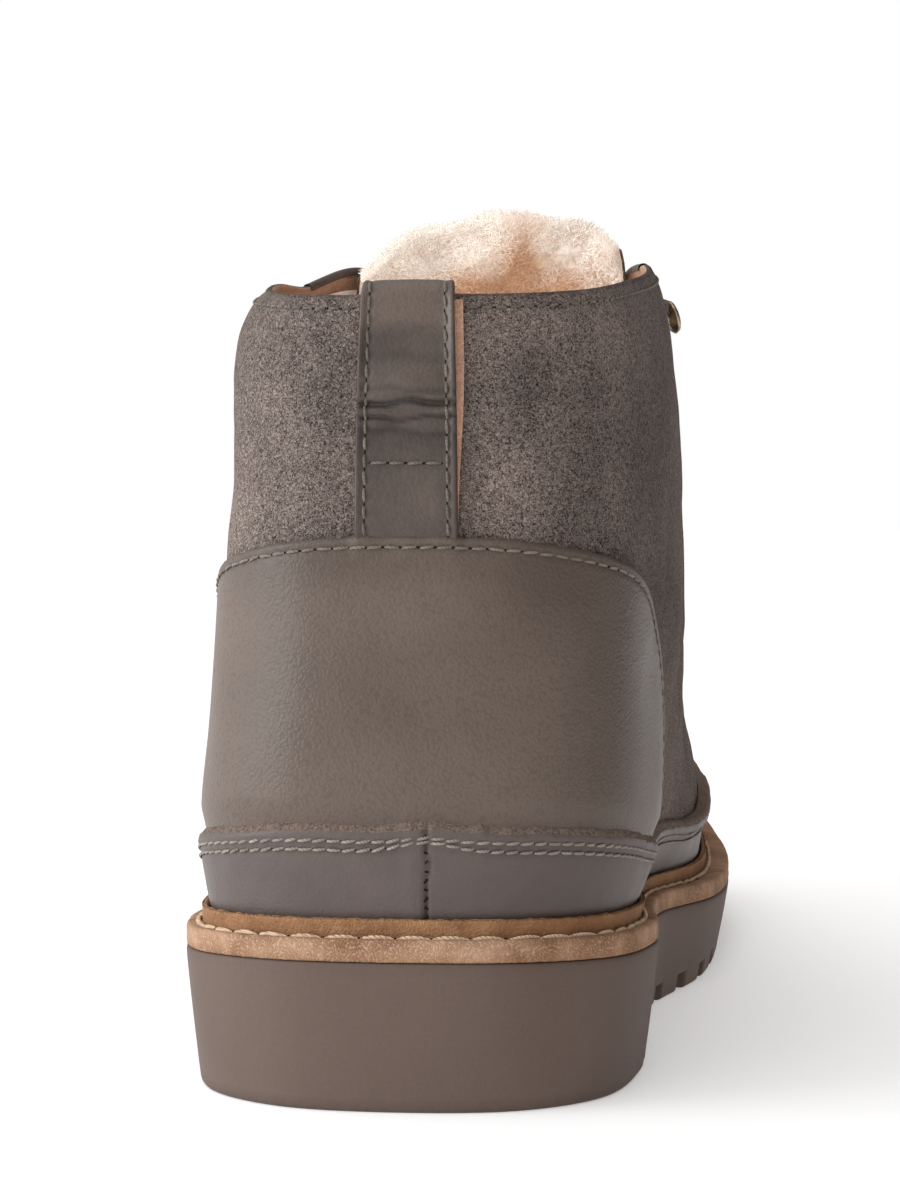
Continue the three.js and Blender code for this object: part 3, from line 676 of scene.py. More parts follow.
looks = {
    "suede": suedeMaterial("taupeSuede", {
        "dark": (92, 78, 74), "light": (126, 108, 101), "shade": (114, 106, 106),
        "tip": (192, 176, 166), "edge": (80, 69, 65), "bloom": (190, 180, 175),
        "fibreScale": 2500.0, "patchScale": 34.0, "speckle": 0.85, "depth": 0.0004,
        "roughness": 0.95, "sheen": 0.05, "edgeAmount": 0.5}),
    "leather": leatherMaterial("taupeLeather", {
        "dark": (90, 77, 69), "light": (111, 97, 88), "pore": (76, 65, 58),
        "edge": (58, 49, 44), "grainScale": 1700.0, "patchScale": 36.0, "pores": 0.3,
        "depth": 0.00011, "roughness": 0.45, "coat": 0.02, "specular": 0.27,
        "edgeAmount": 0.8}),
    "loop": leatherMaterial("loopLeather", {
        "dark": (46, 38, 34), "light": (98, 84, 76), "pore": (48, 40, 36),
        "edge": (50, 43, 38), "grainScale": 1500.0, "patchScale": 60.0, "pores": 0.14,
        "depth": 0.0001, "roughness": 0.44, "coat": 0.04, "edgeAmount": 0.7}),
    "guard": leatherMaterial("guardLeather", {
        "dark": (85, 74, 70), "light": (102, 90, 86), "pore": (74, 64, 60),
        "edge": (62, 52, 47), "grainScale": 1900.0, "patchScale": 46.0, "pores": 0.1,
        "depth": 0.00006, "roughness": 0.5, "specular": 0.34, "edgeAmount": 0.8}),
    "welt": leatherMaterial("weltLeather", {
        "dark": (124, 88, 62), "light": (200, 162, 134), "pore": (222, 192, 166),
        "edge": (146, 106, 76), "grainScale": 2900.0, "patchScale": 120.0, "pores": 0.4,
        "depth": 0.00022, "roughness": 0.85, "edgeAmount": 0.6, "specular": 0.15}),
    "weltLip": leatherMaterial("weltLip", {
        "dark": (140, 98, 66), "light": (192, 148, 108), "pore": (212, 176, 142),
        "edge": (118, 82, 56), "grainScale": 2600.0, "patchScale": 120.0, "pores": 0.15,
        "depth": 0.0002, "roughness": 0.75, "edgeAmount": 0.7, "specular": 0.2}),
    "peach": suedeMaterial("liningSkin", {
        "dark": (192, 146, 122), "light": (220, 178, 154), "shade": (200, 176, 162),
        "tip": (226, 196, 172), "edge": (120, 90, 74), "bloom": (230, 200, 180),
        "fibreScale": 2600.0, "patchScale": 90.0, "speckle": 0.5, "depth": 0.0002,
        "roughness": 0.9, "sheen": 0.2, "edgeAmount": 0.3}),
    "cutEdge": plainMaterial("cutEdge", {
        "dark": (90, 76, 68), "light": (142, 125, 114), "speckScale": 2200.0,
        "roughness": 0.95, "specular": 0.1, "depth": 0.0003}),
    # dark discs of painted shade for the needle holes; the same colour serves the dark seam stitches
    "hole": plainMaterial("needleHole", {
        "dark": (34, 26, 23), "light": (48, 38, 33), "speckScale": 900.0,
        "roughness": 1.0, "specular": 0.0, "depth": 0.0001}),
    # deep is painted shade in the fleece's hollows and toward the strands' roots
    "wool": woolMaterial("fleece", {
        "light": (240, 232, 223), "tan": (208, 170, 138), "deep": (180, 138, 106),
        "curlScale": 300.0, "patchScale": 60.0, "curlShade": 0.2, "depth": 0.0006,
        "glow": 0.17}),
    "strand": woolMaterial("fleeceStrands", {
        "light": (244, 238, 231), "tan": (214, 182, 154), "deep": (210, 180, 154),
        "curlScale": 300.0, "patchScale": 60.0, "curlShade": 0.08, "depth": 0.0001,
        "glow": 0.25}),
    "thread": threadMaterial("taupeThread", {
        "dark": (106, 95, 84), "light": (150, 137, 122), "plyScale": 900.0,
        "depth": 0.00012}),
    "darkThread": threadMaterial("loopThread", {
        "dark": (90, 82, 72), "light": (132, 123, 109), "plyScale": 900.0, "depth": 0.00012}),
    "paleThread": threadMaterial("guardThread", {
        "dark": (128, 116, 106), "light": (172, 160, 149), "plyScale": 900.0,
        "depth": 0.00012}),
    "weltThread": threadMaterial("creamThread", {
        "dark": (206, 172, 136), "light": (240, 214, 182), "plyScale": 600.0,
        "depth": 0.00025}),
    "laceYarn": threadMaterial("laceYarn", {
        "dark": (92, 78, 64), "light": (140, 122, 102), "plyScale": 420.0, "depth": 0.0004}),
    "metal": plainMaterial("agedMetal", {
        "dark": (124, 106, 86), "light": (190, 172, 148), "speckScale": 700.0,
        "roughness": 0.34, "specular": 0.5, "depth": 0.00003, "metal": 0.9}),
    "rubber": rubberMaterial("taupeRubber", {
        "dark": (97, 81, 73), "light": (106, 90, 82), "edge": (62, 52, 46),
        "roughness": 0.66, "depth": 0.00006}),
}
print("materials ready", len(looks))

upperLook = {
    # low, middle and high level, then the steps below and above the middle
    "uCount": 560, "levels": (0.72, 3.3, 4, 74, 34), "liningLevels": (4, 3.35, 9), "skin": 1.6,
    "lumps": ((0.22, 9.0, 3), (0.1, 3.6, 5)), "tone": ((0.5, 14.0, 8),), "patchStrength": 2.0,
    "rimDark": 0.3, "rimWear": 0.8,
    # where the collar's shape starts and stops from the back, and the levels of its parts
    "collar": {"from": (0.9, 1.3), "to": (4.9, 0.9), "shoulder": (3.6, 0.3),
               "roll": (3.72, 0.29), "dip": (3.88, 0.12, 0.5)},
    "bulge": {"medial": 0.35, "lateral": 1.3}, "curl": {"medial": 1.1, "lateral": 4.4},
    "creaseReach": 60,
    # soft troughs: a line of (u, level), depth, width
    "creases": [
        ([(6.35, 1.5), (6.75, 2.4), (7.1, 3.35), (7.35, 3.75)], 0.9, 3.4),
        ([(6.9, 1.35), (7.4, 2.3), (7.75, 3.1), (7.9, 3.6)], 1.1, 3.2),
        ([(7.6, 1.4), (8.1, 2.2), (8.5, 2.9), (8.9, 3.3)], 0.8, 3.6),
        ([(13.7, 1.4), (13.25, 2.4), (12.9, 3.3), (12.7, 3.7)], 1.0, 3.4),
        ([(13.1, 1.35), (12.6, 2.3), (12.25, 3.1), (12.1, 3.6)], 1.1, 3.2),
        ([(12.4, 1.4), (11.9, 2.2), (11.5, 2.9), (11.1, 3.3)], 0.8, 3.6),
        ([(8.6, 3.3), (9.4, 3.5), (10, 3.55), (10.6, 3.5), (11.4, 3.3)], 0.7, 3.0),
        ([(4.1, 1.75), (4.9, 1.95), (5.7, 2.5), (6.1, 3.2)], 0.8, 4.2),
        ([(15.9, 1.75), (15.1, 1.95), (14.3, 2.5), (13.9, 3.2)], 0.8, 4.2),
        ([(3.5, 2.5), (4.2, 2.45), (5.0, 2.7)], 0.6, 4.5),
        ([(16.6, 2.5), (15.8, 2.45), (15.0, 2.7)], 0.6, 4.5),
        ([(1.5, 3.05), (2.2, 2.95), (2.9, 3.1)], 0.35, 3.6),
        ([(0.7, 3.72), (1.4, 3.6), (2.2, 3.66)], 0.3, 3.2),
        ([(17.2, 3.0), (18.0, 2.9), (18.8, 3.02)], 0.35, 3.8),
        ([(18.1, 3.66), (18.8, 3.6), (19.4, 3.7)], 0.25, 3.0),
    ],
    # brushed patches seen from behind: x, z, half width, half height, tone
    "patches": [
        (21, 120, 4, 12, -0.6), (31, 113, 4.5, 15, -0.7), (40, 112, 3.5, 26, -0.4),
        (27, 99, 5, 7, -0.35), (13, 128, 7, 5, 0.3), (24, 131, 8, 3.5, 0.35),
        (36, 128, 5, 5, 0.1), (17, 103, 5, 8, 0.25), (-24, 122, 7, 9, 0.15),
        (-20, 100, 9, 7, 0.25), (-30, 98, 5, 9, 0.45), (-33, 120, 3, 14, -0.2),
        (-12, 118, 3, 16, -0.2), (36, 84, 5, 8, -0.35), (43, 80, 3, 12, -0.3),
    ],
}


def mirrorU(u):
    return np.minimum(u % stations, stations - u % stations)


def perSide(u, values):  # the medial or the lateral value, joined smoothly at back and toe
    share = ease((np.sin(u / stations * 2 * math.pi) + 0.25) / 0.5)
    return values["lateral"] + (values["medial"] - values["lateral"]) * share


def collarLift(u, level):  # full shoulder under the collar that rolls in at its edge
    collar, fromBack = upperLook["collar"], mirrorU(u)
    (start, startRun), (stop, stopRun) = collar["from"], collar["to"]
    (roll, rollRun), (dip, dipRun, dipDepth) = collar["roll"], collar["dip"]
    sides = ease((fromBack - start) / startRun) * (1 - ease((fromBack - stop) / stopRun))
    full = perSide(u, upperLook["bulge"]) * bump(level, *collar["shoulder"])
    curl = perSide(u, upperLook["curl"]) * (
        1 - np.sqrt(1 - np.clip((level - roll) / rollRun, 0, 1) ** 2))
    return sides * (full - curl) - dipDepth * ease((level - dip) / dipRun) * (1 - sides)


def creaseLift(points):
    flat = points.reshape(-1, 3)
    lift = np.zeros(len(flat))
    steps, ridge, ridgeOut = 44, 0.45, 2.1  # a low ridge runs beside each trough
    for line, depth, width in upperLook["creases"]:
        t = np.linspace(0, len(line) - 1, steps)
        track = openLine(np.column_stack([np.array(line), np.zeros(len(line))]), t)
        track = surfaceAt(track[:, 0], track[:, 1])
        near = np.abs(flat[:, 2] - track[:, 2].mean()) < upperLook["creaseReach"]
        gap = np.linalg.norm(flat[near, None, :] - track[None], axis=-1)
        best, gap = gap.argmin(1), gap.min(1)
        fade = np.sin(np.clip(best / (steps - 1), 0.02, 0.98) * math.pi) ** 0.7
        lift[near] -= fade * depth * (bump(gap, 0, width)
                                      - ridge * bump(gap, ridgeOut * width, width))
    return lift.reshape(points.shape[:-1])


def upperSkin(u, level, depth=0.0):  # outer face of the suede with its folds
    base = surfaceAt(u, level)
    lift = collarLift(u, level) + creaseLift(base) + lumps(base, upperLook["lumps"])
    return base + normalAt(u, level) * (lift + depth)[..., None]


def patchTone(points, patches):
    tone = np.zeros(points.shape[:-1])
    for x, z, wide, high, amount in patches:
        near = ((points[..., 0] - x) / wide) ** 2 + ((points[..., 2] - z) / high) ** 2
        tone += amount * np.exp(-near) * (points[..., 1] < 90)
    return tone


def rimRoll(u, count, radius):  # the turned edge, from the outer face to the inner one
    foot = upperSkin(u, np.full_like(u, 4.0))
    out = normalAt(u, 4.0)
    up = unit(surfaceAt(u, 4.0) - surfaceAt(u, 3.96))
    turn = np.linspace(0, math.pi, count)[None, :, None]
    return (foot[:, None] + out[:, None] * radius * (np.cos(turn) - 1)
            + up[:, None] * radius * np.sin(turn))


def buildUpper():
    look, u = upperLook, aroundAll(upperLook["uCount"])
    gridU, gridLevel = np.meshgrid(u, twoSpacings(*look["levels"]), indexing="ij")
    outer, rim = upperSkin(gridU, gridLevel), rimRoll(u, 7, look["skin"] / 2)
    tone = look["patchStrength"] * patchTone(outer, look["patches"]) + lumps(outer, look["tone"])
    rolled = 4  # rows of the turned edge that still show the suede
    skin = np.concatenate([outer, rim[:, 1:rolled + 1]], 1)
    tone = np.concatenate([tone, np.repeat(tone[:, -1:], rolled, 1) - look["rimDark"]], 1)
    edge = np.concatenate([0.35 * ease((gridLevel - 3.97) / 0.03),
                           np.full((len(u), rolled), look["rimWear"])], 1)
    gridU, gridLevel = np.meshgrid(u, np.linspace(*look["liningLevels"]), indexing="ij")
    lining = np.concatenate([rim[:, rolled:], upperSkin(gridU, gridLevel, -look["skin"])[:, 1:]], 1)
    makePiece("upper_suede", [gridPart(skin, roundRows=True, edge=edge, tone=tone),
                              gridPart(lining, roundRows=True, look=1)],
              ["suede", "peach"], ["upper"])


buildUpper()

threadSizes = {
    "counter": {"pitch": 2.9, "fill": 0.86, "radius": 0.26, "lift": 0.32, "sink": 0.08,
                "hole": 0.2, "slant": 0.06},
    "guard": {"pitch": 2.5, "fill": 0.94, "radius": 0.27, "lift": 0.36, "sink": 0.02,
              "hole": 0.15, "slant": 0.14},
    "loop": {"pitch": 2.75, "fill": 0.84, "radius": 0.26, "lift": 0.4, "sink": 0.02,
             "hole": 0.24, "slant": 0.07},
    "collar": {"pitch": 2.4, "fill": 0.8, "radius": 0.22, "lift": 0.26, "sink": 0.06,
               "hole": 0.2, "slant": 0.06},
    "eyestay": {"pitch": 2.6, "fill": 0.82, "radius": 0.25, "lift": 0.3, "sink": 0.06,
                "hole": 0.2},
    "welt": {"pitch": 6.1, "fill": 0.96, "radius": 0.46, "lift": 0.5, "sink": 0.2,
             "hole": 0.3},
}


def borderLift(gap, thick, roundOff):  # a sheet's height near its cut edge
    inside = np.clip(gap / roundOff, 0, 1)
    return thick - roundOff * 0.55 * (1 - np.sqrt(1 - (1 - inside) ** 2))


def distanceTo(points, line):
    flat = points.reshape(-1, 3)
    best = np.full(len(flat), 1e9)
    for start in range(0, len(flat), 6000):
        block = flat[start:start + 6000]
        gap = ((block[:, None, :] - line[None]) ** 2).sum(-1)
        best[start:start + 6000] = np.sqrt(gap.min(1))
    return best.reshape(points.shape[:-1])


counterLook = {
    "thick": 1.35, "top": 96.4, "flatTo": 3.0, "bend": ((18, 90.2), (50, 89.9)),
    "front": (55.5, 60), "foot": (57.0, 40), "footLevel": 0.98, "topFloor": 1.03,
    "columns": 420, "rows": (0, 0.9, 1, 62, 16), "roundOff": 0.55, "wall": (0.0, 0.55, 1.3),
    "wallIn": 0.06, "stitchIn": 1.75, "stitchTo": 0.93, "groove": (0.16, 0.55),
    "wear": ((0.85, 0.35), (0.3, 0.5)), "rag": ((0.16, 1.3, 11), (0.1, 0.5, 12)),
    "lumps": ((0.1, 12.0, 4),), "tone": ((0.35, 22.0, 6),),
    "dents": [((-26, 76), 9, 12, 0.35), ((22, 84), 10, 7, -0.3), ((-6, 66), 18, 9, -0.25),
              ((30, 62), 5, 12, 0.4), ((-33, 58), 4, 8, 0.3)],
    # painted highlight at the left and the lower middle, painted shade at the right edge and along
    # the top: x, z, half width, half height, tone
    "patches": [(-36, 66, 7, 22, 1.1), (-28, 84, 8, 6, 0.2), (36, 70, 7, 28, -1.2),
                (20, 84, 9, 9, -0.2), (0, 91, 28, 5, -1.0), (-4, 58, 18, 10, 0.45)],
    "guardTuck": {"depth": 0.85, "wide": 5.0},
    "overLoop": {"middle": 1.5, "half": 9.6, "fade": 1.6, "lift": 0.55, "wave": 0.1,
                 "waveTurn": 0.9, "reach": 4.5, "rowLift": 0.42},
}


def wearMarks(gap, rim, seam, seams):  # wear at a cut edge and, weaker, in rows of stitches
    return rim[0] * bump(gap, 0, rim[1]) + sum(seam[0] * bump(gap, at, seam[1]) for at in seams)


def overLoop(points):  # 1 where the counter lies on the pull loop
    over = counterLook["overLoop"]
    return ease((over["half"] - np.abs(points[..., 0] - over["middle"])) / over["fade"])


def counterOutline():  # height of the counter's top edge for each y in the side view
    start = np.array([counterLook["flatTo"], counterLook["top"]])
    first, second = (np.array(p, float) for p in counterLook["bend"])
    end = np.array(counterLook["front"], float)
    t = np.linspace(0, 1, 200)[:, None]
    curve = ((1 - t) ** 3 * start + 3 * (1 - t) ** 2 * t * first + 3 * (1 - t) * t ** 2 * second
             + t ** 3 * end)
    curve = np.vstack([[-20, counterLook["top"]], curve, counterLook["foot"]])
    return curve[:, 0], curve[:, 1]


def counterTopLevel(u):
    lineY, lineZ = counterOutline()
    return levelWhere(u, 0.95, 3.2,
                      lambda here: here[:, 2] < np.interp(here[:, 1], lineY, lineZ, right=0))


def buildCounter():
    look, over, tuck = counterLook, counterLook["overLoop"], counterLook["guardTuck"]
    s = np.linspace(-1, 1, look["columns"])
    reach = {}
    for sign in (1, -1):  # where the ridge line reaches the foot of the front edge
        tryU = np.linspace(2.5, 4.2, 400)
        reachY = surfaceAt(sign * tryU, look["topFloor"])[:, 1]
        reach[sign] = float(np.interp(look["foot"][0] - 0.3, reachY, tryU))
    u = np.sin(s * math.pi / 2) * np.where(s > 0, reach[1], reach[-1])
    top = np.maximum(counterTopLevel(u), look["topFloor"])
    t = twoSpacings(*look["rows"])
    gridU = np.repeat(u[:, None], len(t), 1)
    gridLevel = look["footLevel"] + (top[:, None] - look["footLevel"]) * t[None]
    border, out, base = surfaceAt(u, top), normalAt(u, top), surfaceAt(gridU, gridLevel)
    gap = distanceTo(base, border)
    lift = borderLift(gap, look["thick"], look["roundOff"]) + lumps(base, look["lumps"])
    for (x, z), wide, high, depth in look["dents"]:
        lift -= depth * bump(base[..., 0], x, wide) * bump(base[..., 2], z, high)
    lift -= look["groove"][0] * bump(gap, look["stitchIn"], look["groove"][1])
    underGuard = np.linalg.norm(base - base[:, :1], axis=-1)
    lift -= tuck["depth"] * ease(1 - underGuard / tuck["wide"])
    lift += ((over["lift"] + over["wave"] * np.sin(base[..., 0] * over["waveTurn"]))
             * overLoop(base) * ease(1 - gap / over["reach"]))
    skin = base + normalAt(gridU, gridLevel) * lift[..., None]
    inward = unit(np.cross(out, unit(np.gradient(border, axis=0))))
    inward *= np.sign((inward * (base[:, -4] - border)).sum(-1, keepdims=True))
    skin[:, -1] -= inward * lumps(border, look["rag"])[:, None]
    edge = wearMarks(gap, *look["wear"], [look["stitchIn"]])
    # the patches paint highlight and shade on the counter; the lumps vary its tone at random
    tone = lumps(base, look["tone"]) + patchTone(base, look["patches"])
    wall = np.stack([skin[:, -1] - out * down for down in look["wall"]], 1)
    wall[:, 1] -= inward * look["wallIn"]
    makePiece("heel_counter_leather", [gridPart(skin, edge=edge, tone=tone), gridPart(wall, look=1)],
              ["leather", "cutEdge"], ["heel_counter"])
    inner = np.abs(s) < look["stitchTo"]
    ride = look["thick"] - 0.12 + over["rowLift"] * overLoop(border)
    row = border + inward * look["stitchIn"] + out * ride[:, None]
    return stitchParts(row[inner], out[inner], threadSizes["counter"])


counterStitches = buildCounter()

guardLook = {
    "thick": 1.75, "uCount": 720, "rows": (0, 0.935, 1, 24, 9), "footLevel": 0.02,
    "stitches": (2.7, 4.25), "groove": (0.14, 0.45), "wear": ((0.8, 0.3), (0.3, 0.4)),
    "seamX": 5.0, "seamWidth": 0.3, "seamDepth": 0.7, "seamDark": 0.9, "medialPaintedShade": 0.35,
    "seamWander": ((0.25, 4.0, 2),), "seamRidge": (0.18, 2.2, 1.4), "rowsMeet": (0.8, 7),
    "seamStitches": (31.0, 43.5, 1.55), "backTo": 30, "peak": (0.75, 5.5),
    "seamStitch": {"half": 0.42, "sunk": 0.35, "slants": (-0.1, 0.45), "radius": 0.16,
                   "arch": ((-1, -0.1), (-0.4, 0.16), (0.4, 0.16), (1, -0.1))},
    "rawWidth": 1.15, "rawDrop": 1.15, "swell": (0.3, 1.9, 0.8), "bead": 1.5, "beadRows": 1.3,
    "wall": (0.0, 0.5, 1.0, 2.2), "wallUp": 0.14,
    "rag": ((0.22, 2.1, 21), (0.16, 0.8, 22)), "wave": ((0.45, 15, 23),),
    "lumps": ((0.12, 7.0, 24), (0.05, 2.2, 25)), "rawLumps": ((0.12, 0.7, 27),),
    "tone": ((0.4, 18.0, 26),),
}


def guardWave(points):  # slow waves of the raw edge, with a small peak at the back seam
    atBack = points[..., 1] < guardLook["backTo"]
    return (lumps(points, guardLook["wave"])
            + guardLook["peak"][0] * bump(points[..., 0], guardLook["seamX"],
                                          guardLook["peak"][1]) * atBack)


def onFoot(y):  # 0 at the heel to 1 at the toe, where the guard's edge grows into a bead
    return ease((y - 95) / 70)


def beadLift(high, y, drop):
    return high * onFoot(y) * bump(np.maximum(drop - 1.4, 0), 0, 1.6)


def buildGuard():
    look, u = guardLook, aroundAll(guardLook["uCount"])
    border = surfaceAt(u, 1.0)
    topLevel = levelDown(u, 1.0, -lumps(border, look["rag"]) - guardWave(border))
    t = twoSpacings(*look["rows"])
    rawFrom = look["rows"][3]  # the rows from here up are the skived raw edge
    gridU = np.repeat(u[:, None], len(t), 1)
    gridLevel = look["footLevel"] + (topLevel[:, None] - look["footLevel"]) * t[None]
    base = surfaceAt(gridU, gridLevel)
    drop = np.linalg.norm(base - base[:, -1:], axis=-1)
    forward = onFoot(base[..., 1])
    lift = (borderLift(drop, 0, 0.35 + 0.9 * forward.max(1, keepdims=True))
            + look["thick"] + beadLift(look["bead"], base[..., 1], drop))
    raw = np.clip(1 - drop / look["rawWidth"], 0, 1) * (1 - forward)
    swell, swellAt, swellWide = look["swell"]
    lift += swell * bump(drop, swellAt, swellWide) * (1 - forward) - look["rawDrop"] * raw
    lift += lumps(base, look["rawLumps"]) * np.sqrt(raw) + lumps(base, look["lumps"])
    for down in look["stitches"]:
        lift -= look["groove"][0] * bump(drop, down, look["groove"][1])
    atBack = base[..., 1] < look["backTo"]
    seam = bump(base[..., 0], look["seamX"] + lumps(base, look["seamWander"]),
                look["seamWidth"]) * atBack
    tone = lumps(base, look["tone"]) - look["seamDark"] * seam
    # painted shade on the medial side of the back
    tone -= look["medialPaintedShade"] * ease((base[..., 0] - 12) / 25) * atBack
    lift -= look["seamDepth"] * seam
    ridge, ridgeAside, ridgeWide = look["seamRidge"]
    lift += ridge * bump(base[..., 0], look["seamX"] - ridgeAside, ridgeWide) * atBack
    skin = base + normalAt(gridU, gridLevel) * lift[..., None]
    # the edge mark holds wear at the cut edge, the stitch rows and the seam, and painted shade along
    # the guard's foot by the welt
    edge = (wearMarks(drop, *look["wear"], look["stitches"]) + 0.95 * seam ** 0.6
            + 0.5 * ease((0.25 - gridLevel) / 0.2))
    wall = np.stack([skin[:, -1] - normalAt(u, topLevel) * d for d in look["wall"]], 1)
    wall[:, 1] += np.array([0, 0, look["wallUp"]])
    smooth = slice(0, rawFrom + 1)
    parts = [gridPart(skin[:, smooth], roundRows=True, tone=tone[:, smooth],
                      edge=np.clip(edge, 0, 1)[:, smooth]),
             gridPart(skin[:, rawFrom:], roundRows=True, look=1),
             gridPart(wall, roundRows=True, look=1)]
    makePiece("mudguard_leather", parts, ["guard", "cutEdge"],
              ["mudguard"])
    made = []
    closed = np.append(u, stations) + (look["seamX"] - backX) / mmPerStation
    line = surfaceAt(closed, 1.0)
    for k, down in enumerate(look["stitches"]):  # the two rows meet at the back seam
        meet, meetWide = look["rowsMeet"]
        meet = meet * k * bump(line[:, 0], look["seamX"], meetWide) * (line[:, 1] < look["backTo"])
        level = levelDown(closed, levelDown(closed, 1.0, down), -guardWave(line) - meet)
        height = look["thick"] - 0.08 + beadLift(look["beadRows"],
                                                 surfaceAt(closed, level)[:, 1], down)
        made += stitchParts(offsetAt(closed, level, height), normalAt(closed, level),
                            threadSizes["guard"])
    return made


guardStitches = buildGuard()


def guardSeam():  # small dark stitches that pull the two ends of the guard together
    parts = []
    stitch = guardLook["seamStitch"]
    u = (guardLook["seamX"] - backX) / mmPerStation
    for k, height in enumerate(np.arange(*guardLook["seamStitches"])):
        level = levelWhere(u, 0.0, 1.0, lambda here: here[2] < height)
        out = normalAt(u, level)
        foot = offsetAt(u, level, guardLook["thick"] - stitch["sunk"])
        foot[0] = guardLook["seamX"]
        slant = stitch["slants"][k % 2]
        path = [foot + np.array([side * stitch["half"], 0, slant * side]) + out * lift
                for side, lift in stitch["arch"]]
        parts.append(sweepPart(resample(path, 6), stitch["radius"], sides=6, upward=out))
    return parts


seamStitches = guardSeam()

loopLook = {
    "wide": 17.0, "middle": 1.5, "thick": 1.7, "foot": 94.6, "stitchIn": 1.75, "crossZ": 107.2,
    "crossTo": 0.78, "crossGroove": 0.16, "groove": (0.2, 0.5), "wear": ((0.8, 0.3), (0.25, 0.45)),
    "perStation": 20.3, "top": 74, "inside": 4.3, "behind": 140, "arch": 1.5,
    "tuck": (0.9, 3.4, 4.4), "liningAt": 0.35, "liningLow": 97, "liningHigh": 139,
    "swell": (0.9, 121, 5),
    "lumps": ((0.14, 6.0, 31),), "tone": ((0.35, 14, 33),),
    # edges that stand up: side, rise, from, over, height, half height
    "stands": [(1, 1.0, 0.72, 0.28, 127, 10), (-1, 0.5, 0.8, 0.2, 124, 9)],
    # height, depth, half width
    "folds": [(117.3, 1.1, 0.55), (115.2, 0.9, 0.45), (119.6, 0.3, 0.9), (124.8, 0.2, 1.6),
              (112.6, 0.35, 0.9)],
    # painted highlight and painted shade in bands along the strap, brightest at the top where it
    # turns to the light and dark below the folds where it faces down: height, half height, amount
    "bands": [(101, 5, 0.2), (111.5, 3, -0.5), (122, 3.5, 0.15), (133.5, 3, 1.9),
              (128, 3, 0.2)],
}


def loopColumns(xs, depth):  # the strap's line at each place across it
    columns, look = [], loopLook
    tuckDepth, tuckAbove, tuckFade = look["tuck"]
    for x in xs:
        u = (x - backX) / look["perStation"]
        foot = levelWhere(u, 2.0, 4.0, lambda here: here[2] < look["foot"])
        outside, inside = np.linspace(foot, 4.0, look["top"]), np.linspace(4.0, 3.42, 12)
        height = surfaceAt(u, outside)[:, 2]
        tucked = tuckDepth * ease((look["foot"] + tuckAbove - height) / tuckFade)
        out = offsetAt(u, outside, 0.5 + depth - tucked
                       + collarLift(np.full_like(outside, u), outside) * 0.3)
        back = offsetAt(u, inside, -look["inside"] - depth)
        t = np.linspace(0, 1, 14)[1:-1]
        arch = out[-1][None] * (1 - t[:, None]) + back[0][None] * t[:, None]
        arch[:, 2] += (look["arch"] + depth) * np.sqrt(1 - (2 * t - 1) ** 2)
        columns.append(np.vstack([out, arch, back]))
    return np.stack(columns, 1)  # along, across


def foldPlace(z, across, height):  # no fold runs quite straight across the strap
    wave = 0.45 * np.sin(across * 2.3 + height) + 0.2 * np.sin(across * 7.1 + height)
    return z[:, None] + wave[None]


